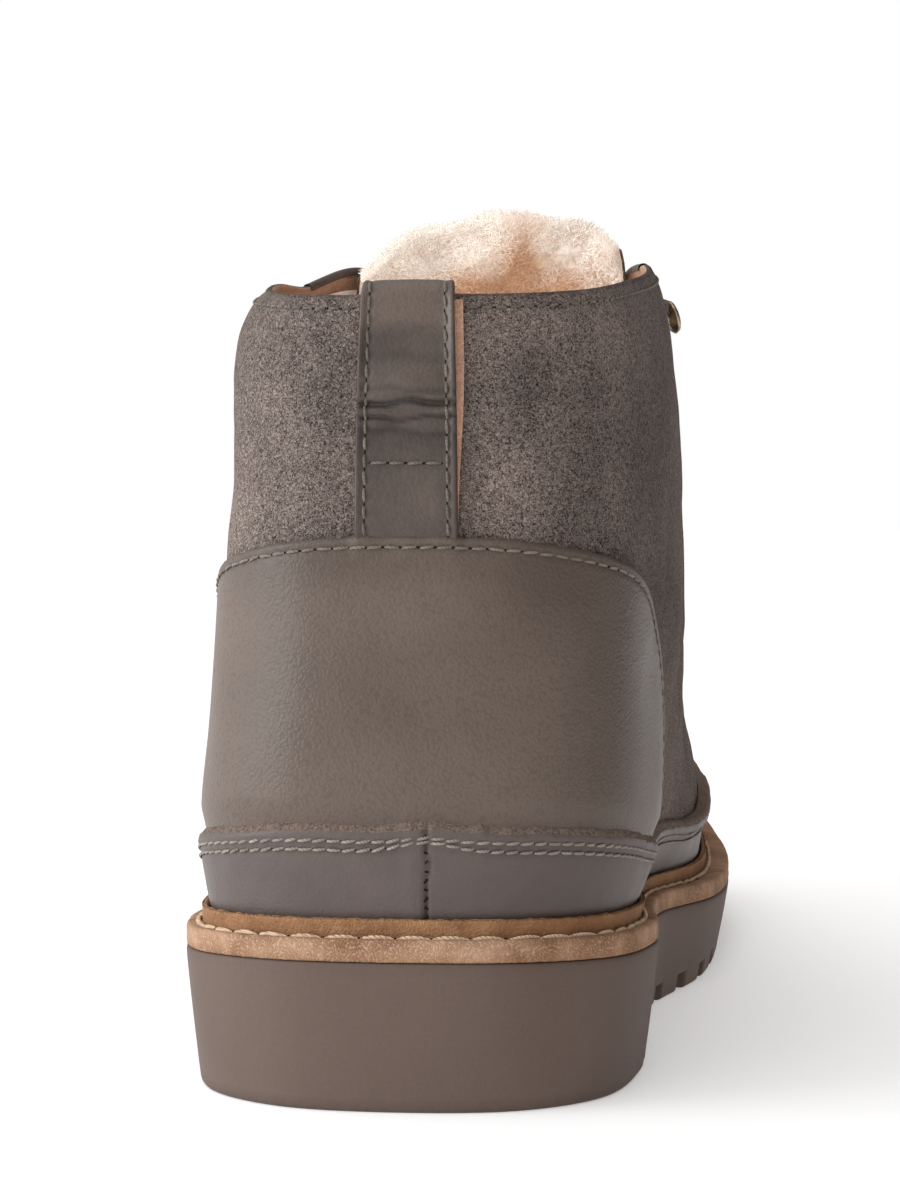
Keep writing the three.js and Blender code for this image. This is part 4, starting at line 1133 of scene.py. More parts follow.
def buildLoop():
    look, half, top = loopLook, loopLook["wide"] / 2, loopLook["top"]
    across = np.concatenate([[-1, -0.985, -0.95], np.linspace(-0.9, 0.9, 21), [0.95, 0.985, 1]])
    middle = loopColumns(look["middle"] + across * half, look["thick"] / 2)
    foot = loopColumns([look["middle"]], 0)[:, 0]
    z = foot[:, 2].copy()
    z[foot[:, 1] > foot[0, 1] + 5] = look["behind"]
    out = unit(np.cross(np.gradient(middle, axis=1), np.gradient(middle, axis=0)))
    outside = (np.arange(len(z)) < top)[:, None]
    inFromEdge = np.repeat(((1 - np.abs(across)) * half)[None], len(z), 0)
    lift, tone = lumps(middle, look["lumps"]), lumps(middle, look["tone"])
    for height, depth, width in look["folds"]:
        place = foldPlace(z, across, height)
        fold = bump(place, height, width) * (0.75 + 0.25 * np.cos(across * 4 + height))[None]
        ridge = bump(place, height + 2.0 * width, width * 1.3)
        lift += depth * (0.5 * ridge - fold) * outside
        # painted shade in each fold
        tone -= 1.8 * depth * bump(place, height, 0.6 * width)
    # painted highlight and painted shade in bands along the strap
    for height, high, amount in look["bands"]:
        tone += amount * bump(z, height, high)[:, None]
    swell = look["swell"][0] * (1 - across ** 2)[None] * bump(z, *look["swell"][1:])[:, None]
    for side, rise, start, run, height, high in look["stands"]:
        swell += rise * ease((side * across - start) / run)[None] * bump(z, height, high)[:, None]
    swell += 0.35 * ease((np.abs(across) - 0.84) / 0.12)[None]
    cross = bump(z, look["crossZ"], 0.5)[:, None] * (inFromEdge > 1.7)
    lift += (swell - look["crossGroove"] * cross) * outside
    lift -= look["groove"][0] * bump(inFromEdge, look["stitchIn"], look["groove"][1])
    rounded = np.sqrt(np.clip(1 - (1 - np.clip(inFromEdge / 0.45, 0, 1)) ** 2, 0, 1))
    halfThick = look["thick"] / 2 * rounded
    front = middle + out * (lift + halfThick)[..., None]
    behind = middle + out * (lift * 0.7 - halfThick)[..., None]
    edge = wearMarks(inFromEdge, *look["wear"], [look["stitchIn"]]) + 0.3 * cross
    parts = [gridPart(front, flip=True, edge=np.clip(edge, 0, 1), tone=tone),
             gridPart(behind, look=1)]
    # the lining skin of the loop shows along its two long edges
    tuck = ease((z - look["liningLow"]) / 30) ** 0.8 * ease((look["liningHigh"] - z) / 3)
    tuck = tuck[:, None] * outside
    share = np.linspace(0, 1, 6)[None]
    for sign, reach, kind in ((1, 1.45, 1), (-1, 1.0, 2)):
        strip = look["middle"] + np.linspace(0.82, 1.0, 6) * half * sign
        under = loopColumns(strip, look["liningAt"])
        under[..., 0] += sign * reach * share * tuck
        under += out[:, :1] * (look["liningAt"] * share * tuck)[..., None]
        parts.append(gridPart(under[4:top - 1], flip=sign > 0, look=kind, tone=0.2))
    makePiece("pull_loop_leather", parts, ["loop", "peach", "suede"],
              ["pull_loop"])
    stitches = []
    for sign in (-1, 1):
        k = int(np.argmin(np.abs(across - sign * (1 - look["stitchIn"] / half))))
        stitches += stitchParts(front[1:top + 3, k], out[1:top + 3, k], threadSizes["loop"],
                                phase=0.46)
    row = int(np.argmin(np.abs(z[:top] - look["crossZ"])))
    inner = np.abs(across) < look["crossTo"]
    return stitches + stitchParts(front[row, inner], out[row, inner], threadSizes["loop"])


loopStitches = buildLoop()


def collarStitches():
    u = np.linspace(0.5, 5.0, 150)
    made = []
    for path in (u, stations - u[::-1]):
        level = levelDown(path, np.full_like(path, 4.0), 1.7)
        along = upperSkin(path + 0.02, level) - upperSkin(path - 0.02, level)
        up = upperSkin(path, level + 0.01) - upperSkin(path, level - 0.01)
        out = unit(np.cross(along, up))
        made += stitchParts(upperSkin(path, level, 0.04), out, threadSizes["collar"])
    return made


eyestayLook = {
    "thick": 0.75, "from": 5.08, "wideTop": 15.5, "wideFoot": 8.0, "stitchIn": 2.0,
    "roundOff": 0.35, "groove": (0.1, 0.4), "wear": (0.8, 0.3), "rimWear": 0.5, "wall": 1.1,
    "tone": ((0.3, 15, 41),), "dark": 0.25,
}


def eyestayWidth(u):
    side = np.abs(u - 10)
    return eyestayLook["wideFoot"] + (eyestayLook["wideTop"] - eyestayLook["wideFoot"]) * ease(
        (side - 0.6) / 3.2)


def buildEyestay():
    look, thick = eyestayLook, eyestayLook["thick"]
    u = np.linspace(look["from"], stations - look["from"], 380)
    rolled = 9  # rows of the turned edge
    rim = rimRoll(u, rolled, upperLook["skin"] / 2)[:, ::-1]
    centre = rim[:, [0, -1]].mean(1, keepdims=True)
    rim = centre + (rim - centre) * (1 + thick / upperLook["skin"])
    down = np.concatenate([np.linspace(0.05, 0.95, 22), [0.975, 0.99, 1]])
    gap = eyestayWidth(u)[:, None] * down[None]
    gridU = np.repeat(u[:, None], len(down), 1)
    gridLevel = levelDown(gridU, 4.0, gap)
    foot = gap[:, -1:] - gap
    toEdge = np.minimum(foot, np.minimum(u - u[0], u[-1] - u)[:, None] * mmPerStation)
    lift = borderLift(toEdge, thick, look["roundOff"])
    for near in (gap, foot):
        lift -= look["groove"][0] * bump(near, look["stitchIn"], look["groove"][1])
    skin = upperSkin(gridU, gridLevel) + normalAt(gridU, gridLevel) * lift[..., None]
    face = np.concatenate([rim, skin], 1)
    edge = np.concatenate([np.full((len(u), rolled), look["rimWear"]),
                           look["wear"][0] * bump(toEdge, 0, look["wear"][1])], 1)
    tone = lumps(face, look["tone"]) - look["dark"]
    wall = np.stack([skin[:, -1], skin[:, -1] - normalAt(u, gridLevel[:, -1]) * look["wall"]], 1)
    parts = [gridPart(face, flip=True, edge=edge, tone=tone), gridPart(wall, flip=True, look=1)]
    for k in (0, -1):
        under = face[k] - np.vstack([np.zeros((rolled, 3)), normalAt(gridU[k], gridLevel[k])])
        parts.append(gridPart(np.stack([face[k], under], 1), flip=k == 0, look=1))
    makePiece("eyestay_leather", parts, ["leather", "cutEdge"])
    made = []
    for far in (look["stitchIn"], eyestayWidth(u) - look["stitchIn"]):
        level = levelDown(u, 4.0, far)
        row = upperSkin(u, level, thick - 0.04)
        made += stitchParts(row[4:-4], normalAt(u, level)[4:-4], threadSizes["eyestay"])
    return made


eyestayStitches = buildEyestay()
makePiece("leather_stitches", counterStitches + eyestayStitches,
          ["thread", "hole"])
makePiece("guard_stitches", guardStitches, ["paleThread", "hole"])
makePiece("loop_stitches", loopStitches + collarStitches(),
          ["darkThread", "hole"])
makePiece("guard_seam", seamStitches, ["hole"])

weltLook = {
    "uCount": 760, "lip": 3.2, "lipThick": 1.5, "lipGap": 2.2,
    "rag": ((0.16, 1.4, 51), (0.12, 0.6, 52)), "lumps": ((0.1, 1.1, 53), (0.07, 0.45, 54)),
    "tone": ((0.45, 13, 55), (0.3, 3, 56)),
}


def buildWelt():
    u = aroundAll(weltLook["uCount"])
    lipGap, lipThick = weltLook["lipGap"], weltLook["lipThick"]

    def lipAt(height, out):  # a line that far up the guard and that far off it
        foot = offsetAt(u, 0.0, out)
        foot[:, 2] = weltTop(foot[:, 1])
        ridge = surfaceAt(u, 1.0)[:, 2]
        level = np.maximum(height, 0) / (ridge - foot[:, 2])
        point = offsetAt(u, np.maximum(level, 0.001), out)
        point[:, 2] = weltTop(foot[:, 1]) + height
        return point

    section, edges = [], []

    def add(points, edge):
        section.append(points)
        edges.append(np.full(len(u), edge))

    for inset, up, edge in ((0.9, -0.25, 0.75), (0.35, -0.2, 0.75), (0.08, 0.1, 0.75),
                            (0, 0.6, 0.75), (0, 1.4, 0.1), (0, 2.0, 0.1), (0, 2.6, 0.1)):
        add(edgeAt(u, inset, lambda y: soleTop(y) + bootForm["gap"] + up), edge)
    for inset, down in ((0.02, 0.6), (0.15, 0.25), (0.45, 0.06), (0.9, 0)):
        add(edgeAt(u, inset, lambda y: weltTop(y) - down), 0.3)
    outer, foot = section[-1], lipAt(0, lipGap + lipThick)
    for t in np.linspace(0.15, 1, 9):  # the ledge, with a groove for its stitches
        point = outer * (1 - t) + foot * t
        point[:, 2] = weltTop(point[:, 1]) - 0.35 * bump(t, 0.74, 0.2)
        add(point, 0.25 + 0.4 * bump(t, 1, 0.12))
    rag = lumps(foot, weltLook["rag"])
    for height in (0.35, 1.0, 1.8, 2.6, 3.2):
        add(lipAt(height, lipGap + lipThick - 0.12 * height), 0.55 - 0.05 * height)
    half = lipThick / 2 - 0.25
    for angle in np.linspace(0, math.pi, 7):
        add(lipAt(weltLook["lip"] - half + half * math.sin(angle) + rag,
                  lipGap + half + half * math.cos(angle)), 0.15)
    for height in (2.4, 1.0):
        add(lipAt(height, lipGap), 0.9)
    points, edge = np.stack(section, 1), np.stack(edges, 1)
    points += lumps(points, weltLook["lumps"])[..., None] * unit(points - bootMiddle)
    lipFrom = 18  # the rows from here on are the lip
    tone = lumps(points, weltLook["tone"])
    tone[:, lipFrom + 1:] -= 0.3
    parts = [gridPart(points[:, some], roundRows=True, edge=edge[:, some], tone=tone[:, some],
                      look=look)
             for look, some in enumerate((slice(0, lipFrom + 1), slice(lipFrom, None)))]
    makePiece("welt_strip", parts, ["welt", "weltLip"], ["welt"])
    closed = np.append(u, stations)
    row = offsetAt(closed, 0.0, lipGap + lipThick + 0.75)
    row[:, 2] = weltTop(row[:, 1]) - 0.05
    up = unit(np.array([0, 0, 1.0]) + normalAt(closed, 0.2) * np.array([0.75, 0.75, 0]))
    makePiece("welt_stitches", stitchParts(row, up, threadSizes["welt"]),
              ["weltThread", "hole"])


buildWelt()

soleLook = {
    "taper": 2.4, "bevel": 0.9, "notchPitch": 16.5, "notchWide": 6.0, "notchHigh": 3.8,
    "notchDeep": 9.0, "notchFrom": 38, "grooveWide": 4.0, "grooveDeep": 3.0, "grooveHalf": 26,
    "grooveFrom": 22, "grooveTo": 272, "arch": (92, 116), "lumps": ((0.07, 8.0, 61),),
}


def buildSole():
    fine = np.linspace(0, stations, 4001)
    line = edgeAt(fine, 0, soleTop)[:, :2]
    run = runAlong(line)
    count = round(run[-1] / soleLook["notchPitch"])
    middles = (np.arange(count) + 0.5) * run[-1] / count
    places = np.interp(middles, run, fine)
    keep = edgeAt(places, soleLook["taper"], soleTop)[:, 1] >= soleLook["notchFrom"]
    middles = middles[keep]
    half = soleLook["notchWide"] / 2
    sides = [middles + out for out in (-half - 0.06, half - 0.06, -half + 0.06, half + 0.06)]
    stops = np.sort(np.concatenate([np.linspace(0, run[-1], 700, endpoint=False), *sides]))
    u = np.interp(stops, run, fine)
    cut = np.abs(stops[:, None] - middles[None]).min(1) < half
    taper, bevel = soleLook["taper"], soleLook["bevel"]
    section, edges = [], []

    def add(inset, heightAt, edge, opened):
        point = edgeAt(u, inset, heightAt)
        if opened:
            floor = soleBottom(point[:, 1]) + soleLook["notchHigh"]
            point[:, 2] = np.where(cut, np.maximum(point[:, 2], floor), point[:, 2])
        section.append(point)
        edges.append(np.full(len(u), edge))

    add(2.5, soleTop, 0.6, False)
    for inset, down in ((0.8, 0), (0.3, 0.1), (0.08, 0.35), (0, 0.8)):
        add(inset, lambda y: soleTop(y) - down, 0.2 if down else 0.6, False)
    # from here on the edge marks darken the rubber as painted shade: a contact shadow along the foot
    # and shade inside the notches
    for t in np.linspace(0.08, 1, 14):
        add(taper * t ** 1.15,
            lambda y: (soleTop(y) - 0.8) * (1 - t) + (soleBottom(y) + bevel) * t,
            0.5 * max(0, t - 0.93) / 0.07, True)
    for inset, up in ((taper + 0.12, 0.5), (taper + 0.4, 0.15), (taper + bevel, 0)):
        add(inset, lambda y: soleBottom(y) + up, 0.7, True)
    deep = taper + soleLook["notchDeep"]
    for inset, opened in ((taper + 5, True), (deep, True), (deep + 0.08, False)):
        add(inset, soleBottom, 0.5, opened)
    ring = section[-1]
    middleX = 3 * ease((ring[:, 1] - 120) / 100)
    centre = np.column_stack([middleX, np.clip(ring[:, 1], 16, 288), ring[:, 2]])
    places = np.arange(soleLook["grooveFrom"], soleLook["grooveTo"], soleLook["notchPitch"])
    places = places[(places < soleLook["arch"][0]) | (places > soleLook["arch"][1])]
    for t in np.linspace(0.04, 1, 22):
        point = ring * (1 - t) + centre * t
        half = soleLook["grooveHalf"] * (1 - 0.45 * ease((point[:, 1] - 235) / 40))
        away = np.abs(point[:, 1][:, None] - places[None]).min(1)
        inside = ease((soleLook["grooveWide"] / 2 + 0.3 - away) / 0.6) * ease(
            (half - np.abs(point[:, 0] - middleX) + 0.6) / 1.2)
        point[:, 2] = soleBottom(point[:, 1]) + soleLook["grooveDeep"] * inside
        section.append(point)
        # painted shade over the bottom, deeper in the grooves
        edges.append(0.5 + 0.4 * inside)
    points = np.stack(section, 1)
    wall = points[:, 5:18]
    wall += lumps(wall, soleLook["lumps"])[..., None] * unit((wall - bootMiddle) * [1, 1, 0])
    makePiece("outsole_rubber", [gridPart(points, roundRows=True, flip=True,
                                          edge=np.stack(edges, 1))],
              ["rubber"], ["outsole"])


buildSole()

tongueLook = {
    # x, y, z of the outside face on its centre line, then half the width along its curve
    "rows": [(5, 188, 71, 19), (5, 178, 79.5, 21), (5.2, 165, 90.5, 22.5), (5.6, 150, 103.5, 24.5),
             (6.2, 135, 118, 26.5), (7, 122, 133, 28.2), (7.5, 114.5, 146, 30),
             (7.8, 112, 152.5, 29), (8, 110.6, 157.5, 26.4), (8.4, 109.9, 161.2, 19)],
    "curve": 40.0, "thick": 9.0, "edge": 2.4, "inner": 0.16,
    "lumps": ((0.18, 7.0, 71),), "tone": ((0.3, 14, 72),),
}


def tongueTop(share):  # how far up the rows the tongue reaches at each place across it
    left = 0.6 * ease((-share + 0.1) / 0.8) + 1.25 * ease((-share - 0.6) / 0.42) ** 1.5
    right = 0.2 * ease((share - 0.1) / 0.6) + 0.9 * ease((share - 0.68) / 0.34) ** 1.6
    return 8.5 - left - right


def tonguePoint(v, share, depth):
    table = np.array(tongueLook["rows"], float)
    v, share, depth = np.broadcast_arrays(*(np.asarray(k, float) for k in (v, share, depth)))
    wide = np.column_stack([table[:, 3], np.zeros((len(table), 2))])
    centre, reach = openLine(table[:, :3], v), openLine(wide, v)[..., 0]
    slope = openLine(table[:, :3], np.minimum(v + 0.05, 9)) - openLine(table[:, :3],
                                                                      np.maximum(v - 0.05, 0))
    out = unit(np.stack([0 * v, slope[..., 2], -slope[..., 1]], -1))
    curve = tongueLook["curve"]
    angle = share * reach / curve
    thick = tongueLook["thick"] + (tongueLook["edge"] - tongueLook["thick"]) * np.abs(share) ** 3
    arm = (curve - depth * thick)[..., None]
    middle = centre - out * curve
    point = middle + out * arm * np.cos(angle)[..., None]
    point[..., 0] += arm[..., 0] * np.sin(angle)
    return point


def buildTongue():
    share = np.linspace(-1, 1, 90)
    top = tongueTop(share)
    t = np.linspace(0, 1, 110)
    gridRow = 0.4 + (top[:, None] - 0.4) * t[None]
    gridShare = np.repeat(share[:, None], len(t), 1)
    outer, inner = (tonguePoint(gridRow, gridShare, deep) for deep in (0.0, tongueLook["inner"]))
    for face in (outer, inner):
        face += lumps(face, tongueLook["lumps"])[..., None] * unit(outer - inner + 1e-6)
    edge = 0.8 * np.maximum(bump(t, 1, 0.012)[None], bump(np.abs(share), 1, 0.03)[:, None])
    tone = lumps(outer, tongueLook["tone"])
    rim = np.concatenate([outer[:, -1:], inner[:, -1:]], 1)
    parts = [gridPart(outer, edge=edge, tone=tone), gridPart(inner, flip=True, tone=-0.4),
             gridPart(rim, look=1)]
    parts += [gridPart(np.stack([outer[k], inner[k]], 1), flip=k == -1, look=1)
              for k in (0, -1)]
    makePiece("tongue_suede", parts, ["suede", "leather"])


buildTongue()

woolLook = {
    "lump": 0.6, "curl": 0.35, "tongueStrands": 16500, "shaftStrands": 13000, "wide": 0.15,
    "strandSize": (0.6, 1.15), "strandTurns": (2.2, 4.6), "strandRadius": (0.35, 0.95),
    "strandWide": (0.7, 1.3), "shaftColumns": 300, "tongueColumns": 150,
    "tongueFrom": 3.2, "tongueRows": (0, 0.96, 1, 120, 8), "tongueDepth": 0.84,
    "overTop": (0.74, 0.6, 0.44, 0.3, 0.2), "strandsFrom": 4.6, "strandsTo": 8.62,
    "shareAtTop": 0.25, "tongueLengths": (2.6, 4.2), "shaftLevels": (0.1, 3.3, 3.93, 60, 20),
    # at the rim, how much more below it, and over how many levels
    "shaftThick": (2.2, 4.2, 0.4), "rootDepth": (2.0, 3.4, 0.4), "shaftLengths": (1.2, 2.6, 0.3),
    "tone": ((0.4, 18, 104),),
    # warm patches in the fleece seen from behind: x, z, half width, half height, amount
    "tongueBlush": [(13, 146, 5, 7, 1.3), (16, 153, 4, 5, 0.8), (24, 145, 5, 4, 1.0),
                    (2, 145, 6, 4, 1.1), (-8, 144, 5, 3, 0.6), (8, 143, 16, 2.5, 0.9)],
}


def woolLumps(points, seed):
    bent = points + 1.4 * np.stack([softNoise(points, 5.0, seed + k) for k in (1, 2, 3)], -1)
    locks = 1 - np.abs(softNoise(bent, 3.6, seed + 4)) * 2
    small = 1 - np.abs(softNoise(bent, 1.5, seed + 5)) * 2
    return woolLook["lump"] * locks + woolLook["curl"] * small


def fleeceDepth(depth, share):  # thinner toward the two sides of the tongue
    return 0.3 + (depth - 0.3) * (1 - np.abs(share) ** 8)


def tongueBlush(points):
    return patchTone(points - np.array([0, 40, 0]), woolLook["tongueBlush"])


def fromRim(level, atRim, more, run):
    return atRim + more * ease((3.95 - level) / run)


def upperSkinFlat(u, level, depth):
    return offsetAt(u, level, collarLift(u, level) + depth)


def strandsPart(roots, normals, length, seed, lean, tone):
    curlDice = np.random.default_rng(seed)
    count, steps = len(roots), 6
    flow = np.stack([softNoise(roots, 7.0, seed + k) for k in (1, 2, 3)], -1)
    flow[:, 2] *= 0.25
    side = unit(np.cross(normals, unit(flow + 0.3 * curlDice.normal(size=(count, 3)))))
    other = np.cross(normals, side)
    t = np.linspace(0, 1, steps)[None, :, None]
    size = length[:, None, None] * curlDice.uniform(*woolLook["strandSize"], (count, 1, 1))
    swing = curlDice.uniform(0, 2 * math.pi, (count, 1, 1))
    turns = curlDice.uniform(*woolLook["strandTurns"], (count, 1, 1))
    radius = curlDice.uniform(*woolLook["strandRadius"], (count, 1, 1))
    grow = t ** 0.8
    path = (roots[:, None] + normals[:, None] * size * t * (1 - 0.25 * t)
            + (flow[:, None] * 1.4 + np.asarray(lean)) * size * 0.45 * t ** 2
            + side[:, None] * radius * grow * np.cos(swing + turns * t * 3)
            + other[:, None] * radius * grow * np.sin(swing + turns * t * 3))
    face = unit(np.cross(np.gradient(path, axis=1), curlDice.normal(size=(count, 1, 3))))
    half = woolLook["wide"] * (1 - 0.75 * t ** 2)
    half = half * curlDice.uniform(*woolLook["strandWide"], (count, 1, 1))
    points = np.stack([path - face * half, path + face * half], 2)
    one = gridFaces(steps, 2)
    faces = (one[None] + (np.arange(count) * steps * 2)[:, None, None]).reshape(-1, 4)
    # darker toward each strand's root: painted shade
    deep = np.broadcast_to((1 - t) ** 1.5 * 0.9, (count, steps, 1))
    deep = np.repeat(deep, 2, 2).reshape(-1)
    return {"points": points.reshape(-1, 3), "faces": faces.tolist(), "look": 0, "edge": deep,
            "tone": np.repeat(tone, steps * 2)}


def tongueWool():
    share = np.linspace(-1, 1, woolLook["tongueColumns"])
    top = tongueTop(share) + 0.02
    t = twoSpacings(*woolLook["tongueRows"])
    over = woolLook["overTop"]
    low = woolLook["tongueFrom"]
    gridRow = np.concatenate([low + (top[:, None] - low) * t[None],
                        np.repeat(top[:, None], len(over), 1)], 1)
    gridShare = np.repeat(share[:, None], gridRow.shape[1], 1)
    depth = np.concatenate([np.full(len(t), woolLook["tongueDepth"]), over])[None]
    base = tonguePoint(gridRow, gridShare, fleeceDepth(depth, gridShare))
    out = unit(np.cross(np.gradient(base, axis=1), np.gradient(base, axis=0)))
    lift = woolLumps(base, 80) * (0.2 + 0.8 * ease((top[:, None] - gridRow) / 1.2))
    skin = base - out * lift[..., None]
    # the edge mark paints shade into the hollows between the locks
    makePiece("tongue_wool", [gridPart(skin, edge=np.clip(0.42 - 0.3 * lift, 0, 1),
                                       tone=tongueBlush(skin), flip=True)],
              ["wool"], ["tongue"])
    rootDice = np.random.default_rng(5)
    count = woolLook["tongueStrands"]
    low, high = woolLook["strandsFrom"], woolLook["strandsTo"]
    pickV = low + (high - low) * rootDice.uniform(0, 1, count) ** 0.75
    pickS = rootDice.uniform(-1, 1, count)
    pickV = np.minimum(pickV, tongueTop(pickS) - 0.02 - rootDice.uniform(0, 0.25, count) ** 2)
    atTop = rootDice.uniform(0, 1, count) < woolLook["shareAtTop"]
    pickV = np.where(atTop, tongueTop(pickS) - 0.05, pickV)
    depth = np.where(atTop, rootDice.uniform(0.15, 0.8, count), 0.67)
    depth = fleeceDepth(depth, pickS)
    roots = tonguePoint(pickV, pickS, depth)
    normals = unit(tonguePoint(pickV, pickS, depth + 0.1) - roots)
    up = unit(tonguePoint(np.minimum(pickV + 0.1, 9), pickS, depth) - roots)
    normals = unit(normals + up * np.where(atTop, 1.6, 0.25)[:, None])
    length = np.where(atTop, *woolLook["tongueLengths"])
    makePiece("tongue_strands", [strandsPart(roots, normals, length, 90, (0, 0, 0.15),
                                             tongueBlush(roots))],
              ["strand"])


tongueWool()


def shaftWool():
    levels = twoSpacings(*woolLook["shaftLevels"])
    gridU, gridLevel = np.meshgrid(aroundAll(woolLook["shaftColumns"]), levels, indexing="ij")
    base = upperSkinFlat(gridU, gridLevel, -fromRim(gridLevel, *woolLook["shaftThick"]))
    lift = woolLumps(base, 100)
    rise = lift * 0.8 * ease((3.97 - gridLevel) / 0.2)
    skin = base - normalAt(gridU, gridLevel) * rise[..., None]
    # the edge mark paints shade into the hollows between the locks
    makePiece("lining_wool", [gridPart(skin, roundRows=True, flip=True,
                                       edge=np.clip(0.4 - 0.3 * lift, 0, 1),
                                       tone=lumps(skin, woolLook["tone"]))],
              ["wool"])
    rootDice = np.random.default_rng(6)
    count = woolLook["shaftStrands"]
    pickU = rootDice.uniform(0, stations, count)
    pickL = 3.9 - 2.3 * rootDice.uniform(0, 1, count) ** 1.5
    roots = upperSkinFlat(pickU, pickL, -fromRim(pickL, *woolLook["rootDepth"]))
    length = fromRim(pickL, *woolLook["shaftLengths"])
    makePiece("lining_strands", [strandsPart(roots, -normalAt(pickU, pickL), length, 110,
                                             (0, 0, -0.1), lumps(roots, woolLook["tone"]))],
              ["strand"])


shaftWool()


insoleLook = {
    "uCount": 220, "inset": 15.5, "height": 5.2, "turnX": 2.5, "centreY": (40, 262), "curl": 0.9,
}


def buildInsole():
    look = insoleLook
    ring = edgeAt(aroundAll(look["uCount"]), look["inset"], lambda y: weltTop(y) + look["height"])
    centre = np.column_stack([look["turnX"] * ease((ring[:, 1] - 120) / 100),
                              np.clip(ring[:, 1], *look["centreY"]), ring[:, 2]])
    points = np.stack([ring * (1 - t) + centre * t for t in np.linspace(0, 1, 30)], 1)
    points[..., 2] = (weltTop(points[..., 1]) + look["height"]
                      + look["curl"] * woolLumps(points, 120))
    # painted shade in the hollows between the locks
    deep = np.clip(0.5 - 0.3 * woolLumps(points, 120), 0, 1)
    makePiece("insole_wool", [gridPart(points, roundRows=True, edge=deep)], ["wool"],
              ["insole"])


buildInsole()

laceLook = {
    "eyeletPlaces": [7.75, 7.2, 6.82, 6.5], "hookPlace": 5.62, "hookCrossing": 6.15,
    "eyeletBack": 10.0, "hookBack": 11.0, "radius": 1.5, "crown": 5.0,
    "lift": {"under": 3.6, "bar": 4.2, "over": 6.2},
}


def seatAt(u, distance, crossing):
    level = 4.0
    edge = surfaceAt(u, 4.0)
    while np.linalg.norm(surfaceAt(u, level) - edge) < distance:
        level -= 0.005
    return {"place": surfaceAt(u, level), "out": normalAt(u, level),
            "over": surfaceAt(crossing, 3.95), "overOut": normalAt(crossing, 3.95)}


def pairAt(u, distance, crossing):
    return [seatAt(u, distance, crossing), seatAt(stations - u, distance, stations - crossing)]


eyeletPairs = [pairAt(u, laceLook["eyeletBack"], u) for u in laceLook["eyeletPlaces"]]
hookPair = pairAt(laceLook["hookPlace"], laceLook["hookBack"], laceLook["hookCrossing"])


def buildMetal():
    ringShape = [(2.25, -1.6), (2.2, 0.6), (2.35, 1.25), (2.8, 1.55), (3.6, 1.5), (4.25, 1.2),
                 (4.5, 0.75), (4.5, 0.55)]
    stud = [(3.5, 0.5), (3.5, 1.1), (3.1, 1.45), (2.0, 1.6), (1.4, 2.0), (1.35, 3.4),
            (1.8, 3.9), (3.1, 4.1), (3.5, 4.5), (3.2, 5.1), (1.8, 5.6), (0.05, 5.8)]
    sides = ("medial", "lateral")
    seats = [pair[k] for k in (0, 1) for pair in eyeletPairs]
    names = [f"eyelet_{side}_{n + 1}" for side in sides for n in range(len(eyeletPairs))]
    makePiece("eyelets", [lathePart(ringShape, seat["place"], seat["out"]) for seat in seats],
              ["metal"], names)
    makePiece("hooks", [lathePart(stud, seat["place"], seat["out"]) for seat in hookPair],
              ["metal"], [f"hook_{side}" for side in sides])


buildMetal()


def eyeletRun(seat):  # from inside the upper up through the eyelet
    place, out = seat["place"], seat["out"]
    across = unit(seat["over"] - place)
    return [place - out * 4.5, place - out * 1.5, place + out * 1.2,
            place + out * 3.1 + across * 1.4]


def hookTurn(seat):  # round the stem of the hook, where the end stops
    place, out = seat["place"], seat["out"]
    across = unit(seat["over"] - place)
    side = unit(np.cross(out, across))
    stem, radius = place + out * 3.0, 2.9
    return [stem + radius * (side * math.sin(a) - across * math.cos(a))
            for a in np.radians([200, 165, 130, 95, 60])]


def lacePath(start, end, lift, atHook):
    over = [seat["over"] + seat["overOut"] * lift for seat in (start, end)]
    middle = (over[0] + over[1]) / 2 + unit(np.array([0, 1.0, 1.0])) * laceLook["crown"]
    last = hookTurn(end) if atHook else eyeletRun(end)[::-1]
    stops = np.array(eyeletRun(start) + [over[0], middle, over[1]] + last)
    return resample(openLine(stops, np.linspace(0, len(stops) - 1, 160)), 96)


def buildLace():
    lift, pairs = laceLook["lift"], eyeletPairs + [hookPair]
    routes = [lacePath(*pairs[0], lift["bar"], False)]
    for low, high in zip(pairs[:-1], pairs[1:]):
        routes.append(lacePath(low[0], high[1], lift["under"], high is hookPair))
        routes.append(lacePath(low[1], high[0], lift["over"], high is hookPair))
    parts = []
    for route in routes:
        weave = 1 + 0.05 * np.cos(np.arange(len(route)) * math.pi)
        parts.append(sweepPart(route, laceLook["radius"] * weave, sides=14))
    makePiece("lace_cord", parts, ["laceYarn"], ["lace"])
    length = sum(np.linalg.norm(np.diff(route, axis=0), axis=1).sum() for route in routes)
    print("lace shown", round(float(length)), "mm")


buildLace()

roomLook = {
    "floor": (244, 244, 244), "floorGlow": 0.32, "background": 1.0, "lightSide": 1.0,
    "darkSide": 0.08, "turn": 0.32, "key": 8.6, "top": 0.6,
}


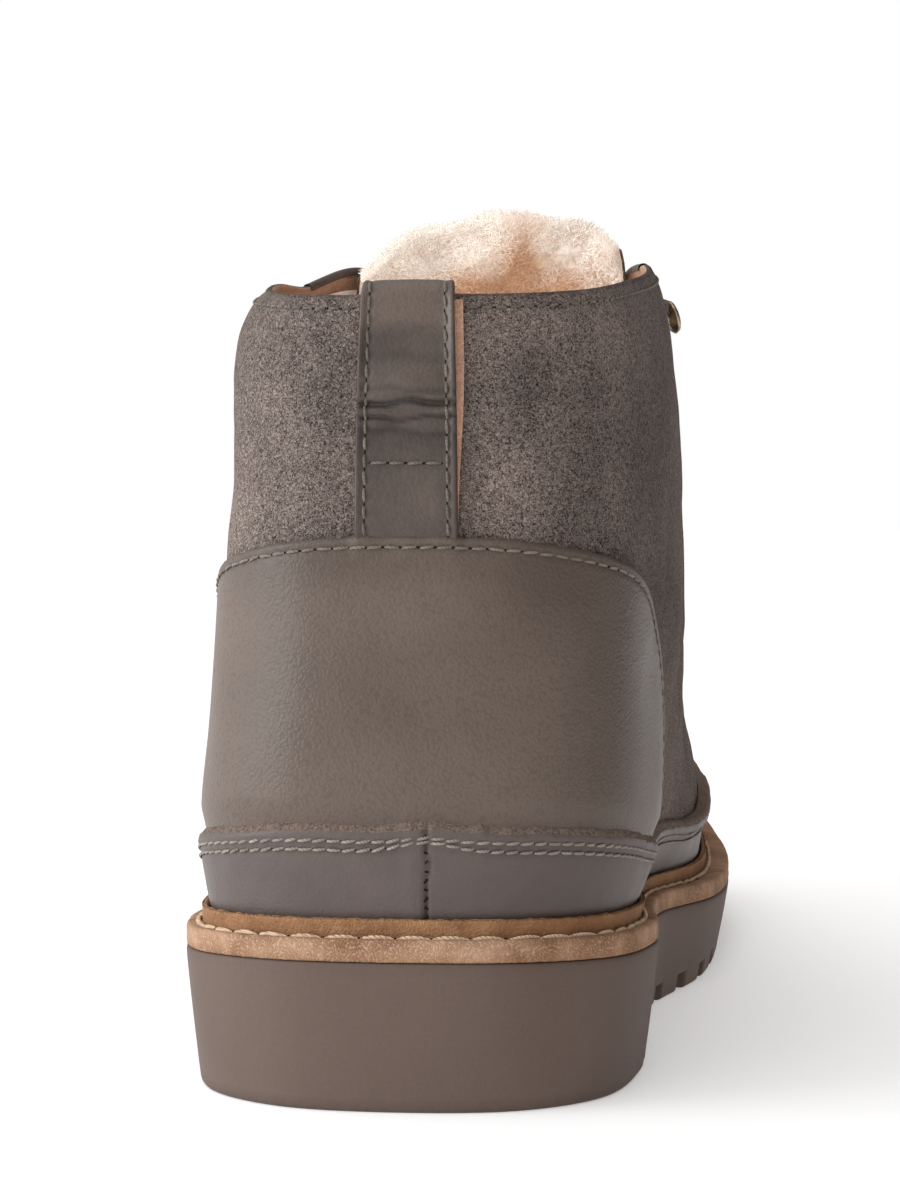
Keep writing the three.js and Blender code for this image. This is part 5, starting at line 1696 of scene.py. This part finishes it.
def buildRoom():
    mesh = bpy.data.meshes.new("paleFloor")
    mesh.from_pydata([(-30, -30, 0), (30, -30, 0), (30, 30, 0), (-30, 30, 0)], [], [(0, 1, 2, 3)])
    material, tree, shader = newMaterial("paleFloor", 0.9, specular=0.1)
    send(tree, shader, Base_Color=roomLook["floor"], Emission_Color=(1.0, 1.0, 1.0, 1.0),
         Emission_Strength=roomLook["floorGlow"])
    mesh.materials.append(material)
    floor = addObject("paleFloor", mesh)
    world = bpy.data.worlds.new("softRoom")  # a white room, darker on the medial side
    world.use_nodes = True
    tree = world.node_tree
    seen, lit = tree.nodes["Background"], node(tree, "ShaderNodeBackground")
    send(tree, seen, Strength=roomLook["background"], Color=(1.0, 1.0, 1.0, 1.0))
    parts = node(tree, "ShaderNodeSeparateXYZ")
    send(tree, parts, Vector=node(tree, "ShaderNodeTexCoord").outputs["Generated"])
    across = plus(tree, parts.outputs["X"], times(tree, parts.outputs["Y"], roomLook["turn"]))
    level = ranged(tree, across, -0.4, 0.8, roomLook["lightSide"], roomLook["darkSide"])
    send(tree, lit, Strength=level,
         Color=blendColours(tree, ranged(tree, parts.outputs["X"], -0.9, 0.9),
                            (0.97, 0.99, 1.0, 1), (1.0, 0.93, 0.88, 1)))
    choose, seenBy = node(tree, "ShaderNodeMixShader"), node(tree, "ShaderNodeLightPath")
    for k, value in enumerate((seenBy.outputs["Is Camera Ray"], lit.outputs[0], seen.outputs[0])):
        feed(tree, choose.inputs[k], value)
    send(tree, tree.nodes["World Output"], Surface=choose.outputs[0])
    bpy.context.scene.world = world


def softLight(name, kind, place, aim, power, **values):
    data = bpy.data.lights.new(name, kind)
    data.energy = power
    for key, value in values.items():
        setattr(data, key, value)
    turnTo(addObject(name, data), Vector(place), Vector(aim))


buildRoom()
softLight("keyLight", "AREA", (-1.1, -0.5, 0.33), (0, -0.1, 0.07), roomLook["key"],
          shape="RECTANGLE", size=0.7, size_y=0.5, color=(0.9, 0.96, 1.0))
softLight("topLight", "SUN", (-0.3, -0.3, 2.0), (0, 0, 0), roomLook["top"], angle=1.0)
print("room and lights ready")
